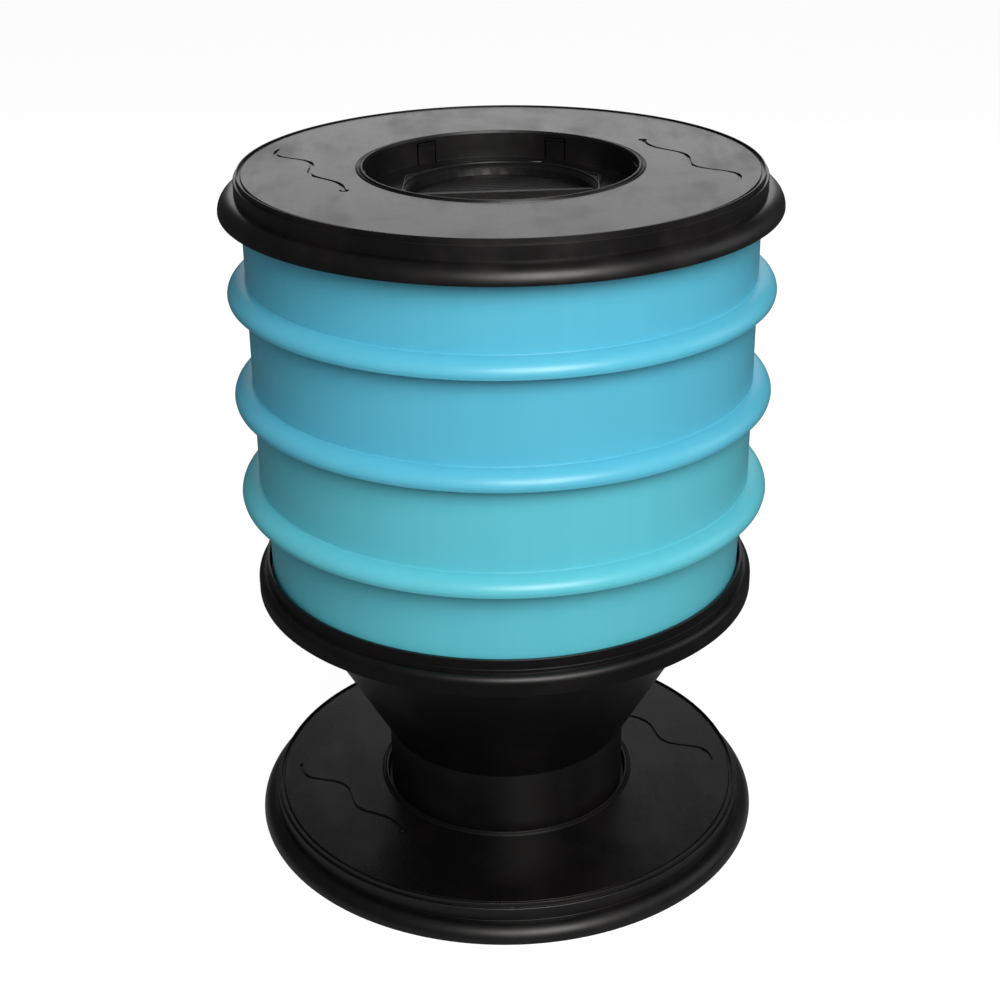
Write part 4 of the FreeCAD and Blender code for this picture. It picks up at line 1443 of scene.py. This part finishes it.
@dataclass
class Studio:
    """The floor, the world, the lamps and the camera."""

    floor_size: float = 12.0
    floor_grey: float = 0.26
    floor_glow: float = 0.88
    floor_sheen: float = 0.07
    foot_sheen: float = 0.34
    sheen_span: Span = (0.24, 0.42)
    sky_fill: float = 0.34
    sky_round: float = 0.05
    screen_light: float = 1.18
    screen_way: Triple = (0.03, 0.989, 0.14)
    screen_span: Span = (0.905, 0.975)
    aim: Triple = (0.0, 0.0, 0.28)
    camera_place: Triple = (0.0, -1.2089, 0.8316)
    camera_turns: Triple = (-0.145, 25.069, -0.616)
    sensor: float = 36.0
    focal_pixels: float = 1737.5
    photo_pixels: float = 1000.0
    lamps: tuple[Lamp, ...] = (
        Lamp("key lamp", (0.49, -1.55, 1.52), 1.20, 38.5, (1.0, 0.985, 0.95)),
        Lamp("front fill", (-0.30, -1.80, 1.25), 1.30, 3.0, shines=False),
        Lamp("right strip", (1.85, 0.10, 1.15), 1.20, 4.0, fills=False),
        Lamp("back fill", (0.25, 1.90, 1.20), 1.30, 11.0, shines=False),
    )

    def _rays(self, graph: Graph) -> tuple[Value, Value]:
        """Tells kinds of rays apart.

        Args:
            graph: The graph of the floor or of the world.

        Returns:
            Whether a ray comes from the camera, and whether it comes off a glossy face or through glass.
        """
        seen, glossy, through = (
            graph.node("LightPath", {}, {}, name)
            for name in ("Is Camera Ray", "Is Glossy Ray", "Is Transmission Ray")
        )
        return seen, glossy | through

    def floor(self) -> None:
        """A plain pale floor that keeps the object's shadow, and mirrors lighter close to the object."""
        half = self.floor_size / 2
        corners = [(-half, -half, 0.0), (half, -half, 0.0), (half, half, 0.0), (-half, half, 0.0)]
        mesh = bpy.data.meshes.new("floor")
        mesh.from_pydata(corners, [], [(0, 1, 2, 3)])
        plane = new_object("floor", mesh)
        material, graph = new_material("floor")
        paint = graph.node("BsdfDiffuse", {}, {"Color": (self.floor_grey,) * 3})
        seen, mirrored = self._rays(graph)
        glow = graph.node("Emission", {}, {"Color": WHITE, "Strength": seen * self.floor_glow})
        lit = graph.node("AddShader", {}, {0: paint, 1: glow})
        away = graph.length(graph.place()).ramp(self.sheen_span)
        shine = self.foot_sheen + (self.floor_sheen - self.foot_sheen) * away
        sheen = graph.node("Emission", {}, {"Color": WHITE, "Strength": shine})
        both = graph.node("MixShader", {}, {0: mirrored, 1: lit, 2: sheen})
        graph.node("OutputMaterial", {}, {"Surface": both})
        mesh.materials.append(material)

    def world(self) -> None:
        """White where the camera sees it, a bright screen behind in reflections, a dim fill otherwise."""
        world = bpy.data.worlds.new("studio")
        world.use_nodes = True
        world.cycles.sampling_method = "NONE"
        bpy.context.scene.world = world
        graph = Graph(world.node_tree)
        way = graph.node("TexCoord", {}, {}, "Generated")
        dot = {"operation": "DOT_PRODUCT"}
        behind = graph.node("VectorMath", dot, {0: way, 1: self.screen_way}, "Value").ramp(self.screen_span)
        screen = self.sky_round + (self.screen_light - self.sky_round) * behind
        seen, mirrored = self._rays(graph)
        rest = 1.0 - (seen | mirrored)
        strength = seen + mirrored * screen + rest * self.sky_fill
        sky = graph.node("Background", {}, {"Color": WHITE, "Strength": strength})
        graph.node("OutputWorld", {}, {"Surface": sky})

    def camera(self) -> None:
        """The camera at the photograph's viewing angle."""
        yaw, pitch, roll = (math.radians(angle) for angle in self.camera_turns)
        ahead = Vector((math.sin(yaw) * math.cos(pitch), math.cos(yaw) * math.cos(pitch), -math.sin(pitch)))
        right = ahead.cross(Vector((0.0, 0.0, 1.0))).normalized()
        above = right.cross(ahead)
        rolled_right = math.cos(roll) * right + math.sin(roll) * above
        rolled_above = -math.sin(roll) * right + math.cos(roll) * above
        matrix = Matrix((rolled_right, rolled_above, -ahead)).transposed().to_4x4()
        matrix.translation = Vector(self.camera_place)
        lens = bpy.data.cameras.new("camera")
        lens.sensor_width = self.sensor
        lens.sensor_fit = "HORIZONTAL"
        lens.lens = self.focal_pixels / self.photo_pixels * self.sensor
        holder = new_object("camera", lens)
        holder.matrix_world = matrix
        bpy.context.scene.camera = holder

    def build(self) -> None:
        """Makes the studio."""
        self.floor()
        self.world()
        for lamp in self.lamps:
            lamp.build(Vector(self.aim))
        self.camera()
        bpy.context.scene.view_settings.view_transform = "Standard"
        LOG.info("studio with %d lamps", len(self.lamps))


@dataclass
class Wormery:
    """The whole object."""

    lid_z: float = 500.9
    foot_turn: float = 197.0
    first_shoulder: float = 290.2
    disc: Disc = field(default_factory=Disc)
    tray: Tray = field(default_factory=Tray)
    collector: Collector = field(default_factory=Collector)
    tap: Tap = field(default_factory=Tap)
    inner: InnerPieces = field(default_factory=InnerPieces)

    def build(self, palette: Palette) -> None:
        """Makes every piece in order, from the ground up.

        Args:
            palette: The finishes.
        """
        self.disc.build(palette, self.lid_z, self.foot_turn)
        self.collector.build(palette)
        self.tap.build(palette)
        pitch = self.tray.body_height
        self.tray.build(palette, {
            "tray_bottom": (self.first_shoulder, Slot.TEAL),
            "tray_middle": (self.first_shoulder + pitch, Slot.BLUE),
            "tray_top": (self.first_shoulder + 2 * pitch, Slot.BLUE),
        })
        self.inner.build(palette)


def main() -> None:
    """Builds the wormery and the studio."""
    logging.basicConfig(level=logging.INFO, format="%(name)s: %(message)s")
    Wormery().build(Palette())
    Studio().build()
    bpy.context.view_layer.update()


if __name__ == "__main__":
    main()
